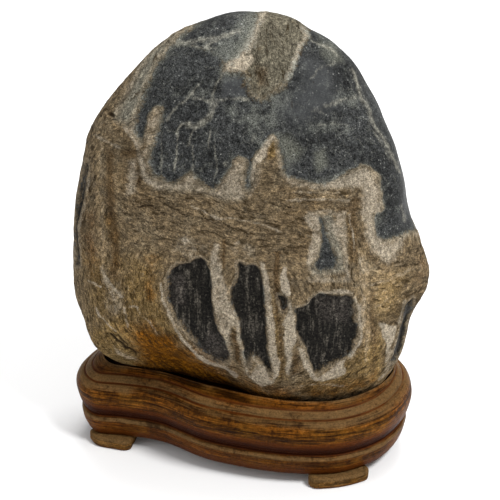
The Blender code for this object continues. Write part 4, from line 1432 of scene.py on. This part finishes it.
def build_foot(node, material):
    """A slab under the rim with eased edges and corners.

    Its plan is the rim's own curve outside and a straight line inside, and each ring is that
    plan moved inwards by the quarter circle at its top and bottom.
    """
    start, end, start_inset, end_inset, depth = FEET[node]
    outline = [pair[0] for pair in RIM]
    s = np.linspace(start, end, FOOT_SAMPLES)
    q = closed_spline(outline, s)
    ahead = unit(closed_spline(outline, s + 0.01) - closed_spline(outline, s - 0.01))
    normal = np.column_stack([ahead[:, 1], -ahead[:, 0]])
    from_middle = np.abs(np.linspace(-1, 1, len(s)))[:, None]
    turn_in = FOOT_CORNER * np.clip((from_middle - FOOT_STRAIGHT) / (1 - FOOT_STRAIGHT), 0, 1) ** 2
    inset = np.linspace(start_inset, end_inset, len(s))[:, None]
    outer = q - normal * (inset + turn_in)
    inner = (q - normal * (inset + depth))[[-1, 0]]
    corners = np.vstack([outer, inner, outer[:1]])
    length = np.concatenate([[0], np.cumsum(np.linalg.norm(np.diff(corners, axis=0), axis=1))])
    at = np.arange(FOOT_COLUMNS) / FOOT_COLUMNS * length[-1]
    plan = np.column_stack([np.interp(at, length, corners[:, i]) for i in (0, 1)])
    for _ in range(FOOT_SMOOTHINGS):
        plan = (np.roll(plan, 1, 0) + 2 * plan + np.roll(plan, -1, 0)) / 4
    away = ring_normals(plan)
    turns = np.linspace(0, math.pi / 2, 6)
    rounding = [(FOOT_EASE * (1 - math.sin(t)), FOOT_EASE * (1 - math.cos(t))) for t in turns]
    section = rounding + [(0, z) for z in np.linspace(FOOT_EASE, FOOT_TOP - FOOT_EASE, 9)[1:-1]]
    section += [(inset, FOOT_TOP - z) for inset, z in reversed(rounding)]
    rings = [np.column_stack([plan - away * i, np.full(FOOT_COLUMNS, z)]) for i, z in section]
    middle = plan.mean(0)
    bottom, top = np.append(middle, 0), np.append(middle, FOOT_TOP)
    lower = [rings[0] + (bottom - rings[0]) * f for f in reversed(FOOT_FAN)]
    upper = [rings[-1] + (top - rings[-1]) * f for f in FOOT_FAN]
    points = np.stack(lower + rings + upper)
    side = smooth_step(np.minimum(points[..., 2], FOOT_TOP - points[..., 2]) / 1.5)
    level = np.stack([away] * len(points))
    points[..., :2] += level * (side * 0.18 * uneven(points, "foot carving") - 0.1)[..., None]
    points += AXIS
    foot = grid_piece("slab_" + node[len("foot_"):], points, first=bottom + AXIS, last=top + AXIS)
    z = points[..., 2]
    # Painted shade towards the foot's bottom, and wear with a painted highlight along its eased top edge.
    give_values(foot, "shade", 0.5 * smooth_step((2.2 - z) / 2.2))
    give_values(foot, "worn_and_lit", 0.8 * smooth_step((z - 3.4) / 1.2) + 0.2)
    give_run(foot, points)
    foot.data.materials.append(material)
    fit_in(foot, node)


# ---------------------------------------------------------------- studio
def build_floor(settings):
    """A wide pale floor: rings round a middle point, each half as wide again as the last."""
    radii = settings.floor_radius * 1.5 ** np.arange(-14, 1.0)
    turn = np.arange(64) / 64 * TURN
    rings = np.stack([np.column_stack([r * np.cos(turn), r * np.sin(turn), 0 * turn])
                      for r in radii[::-1]]) / MM
    floor = grid_piece("floor", rings, last=np.zeros(3))
    f = Finish("floor_finish")
    cloudy = f.noise(300, 2, 0.5)
    colour = f.mix(cloudy, (0.90, 0.90, 0.90), (0.93, 0.93, 0.93))
    normal = f.bump(f.noise(1.5, 2, 0.5), 0.03, 0.05)
    floor.data.materials.append(f.finish(colour, 0.9, normal, 0.1))


# Each light's place, what it faces, its width in metres and its power in watts.
LIGHTS = {
    "key": ((0.70, -0.60, 1.30), (0, 0, 0.10), 0.50, 21.5),
    "fill": ((-1.1, -0.8, 0.7), (0, 0, 0.10), 1.1, 3.4),
    "top": ((0.10, 0.50, 1.45), (0, 0, 0.12), 0.8, 16.0),
}


def build_lights(settings):
    """Large soft panels and even surroundings."""
    for name, (place, aim, size, power) in LIGHTS.items():
        data = bpy.data.lights.new(name, "AREA")
        data.shape = "DISK"
        data.size = size
        data.energy = power
        lamp = bpy.data.objects.new(name, data)
        bpy.context.scene.collection.objects.link(lamp)
        lamp.location = place
        lamp.rotation_euler = (Vector(aim) - Vector(place)).to_track_quat("-Z", "Y").to_euler()
    world = bpy.data.worlds.new("surroundings")
    world.use_nodes = True
    sky = world.node_tree.nodes["Background"]
    sky.inputs["Color"].default_value = (1, 1, 1, 1)
    sky.inputs["Strength"].default_value = settings.sky
    bpy.context.scene.world = world
    bpy.context.scene.view_settings.view_transform = "Standard"


def build_camera(settings):
    """A long lens that looks down on the stand's front."""
    eye, _, _, forward = camera_frame(settings)
    data = bpy.data.cameras.new("camera")
    data.lens = settings.lens
    data.sensor_width = SENSOR
    camera = bpy.data.objects.new("camera", data)
    bpy.context.scene.collection.objects.link(camera)
    camera.location = eye
    camera.rotation_euler = Vector(forward).to_track_quat("-Z", "Y").to_euler()
    bpy.context.scene.camera = camera


# ---------------------------------------------------------------- operators
class ROCK_OT_stone(bpy.types.Operator):
    """Make the marked stone"""

    bl_idname = "rock.stone"
    bl_label = "Stone"

    def execute(self, context):
        build_stone(context.scene.rock_stone, context.scene.rock_studio)
        return {"FINISHED"}


class ROCK_OT_stand(bpy.types.Operator):
    """Carve the stand's moulded body"""

    bl_idname = "rock.stand"
    bl_label = "Stand"

    def execute(self, context):
        build_stand(context.scene.rock_stand)
        return {"FINISHED"}


class ROCK_OT_feet(bpy.types.Operator):
    """Make the four feet"""

    bl_idname = "rock.feet"
    bl_label = "Feet"

    def execute(self, context):
        settings = context.scene.rock_stand
        material = wood_finish("foot_finish", settings.foot_wood, settings, FOOT_SURFACE)
        for node in FEET:
            build_foot(node, material)
        return {"FINISHED"}


class ROCK_OT_studio(bpy.types.Operator):
    """Lay the floor and set up the lights and the camera"""

    bl_idname = "rock.studio"
    bl_label = "Studio"

    def execute(self, context):
        settings = context.scene.rock_studio
        build_camera(settings)
        build_floor(settings)
        build_lights(settings)
        return {"FINISHED"}


class ROCK_PT_panel(bpy.types.Panel):
    """Lists the pieces"""

    bl_label = "Scholar's Rock"
    bl_idname = "ROCK_PT_panel"
    bl_space_type = "VIEW_3D"
    bl_region_type = "UI"
    bl_category = "Rock"

    def draw(self, context):
        for operator in OPERATORS:
            self.layout.operator(operator.bl_idname)


OPERATORS = (ROCK_OT_studio, ROCK_OT_stone, ROCK_OT_stand, ROCK_OT_feet)
CLASSES = SETTINGS + OPERATORS + (ROCK_PT_panel,)


def register():
    """Add the classes and the scene's settings."""
    for item in CLASSES:
        bpy.utils.register_class(item)
    bpy.types.Scene.rock_stone = PointerProperty(type=StoneSettings)
    bpy.types.Scene.rock_stand = PointerProperty(type=StandSettings)
    bpy.types.Scene.rock_studio = PointerProperty(type=StudioSettings)


def unregister():
    """Take them away again."""
    del bpy.types.Scene.rock_stone
    del bpy.types.Scene.rock_stand
    del bpy.types.Scene.rock_studio
    for item in reversed(CLASSES):
        bpy.utils.unregister_class(item)


def main():
    """Make everything in order."""
    register()
    bpy.ops.rock.studio()
    bpy.ops.rock.stone()
    bpy.ops.rock.stand()
    bpy.ops.rock.feet()


if __name__ == "__main__":
    main()
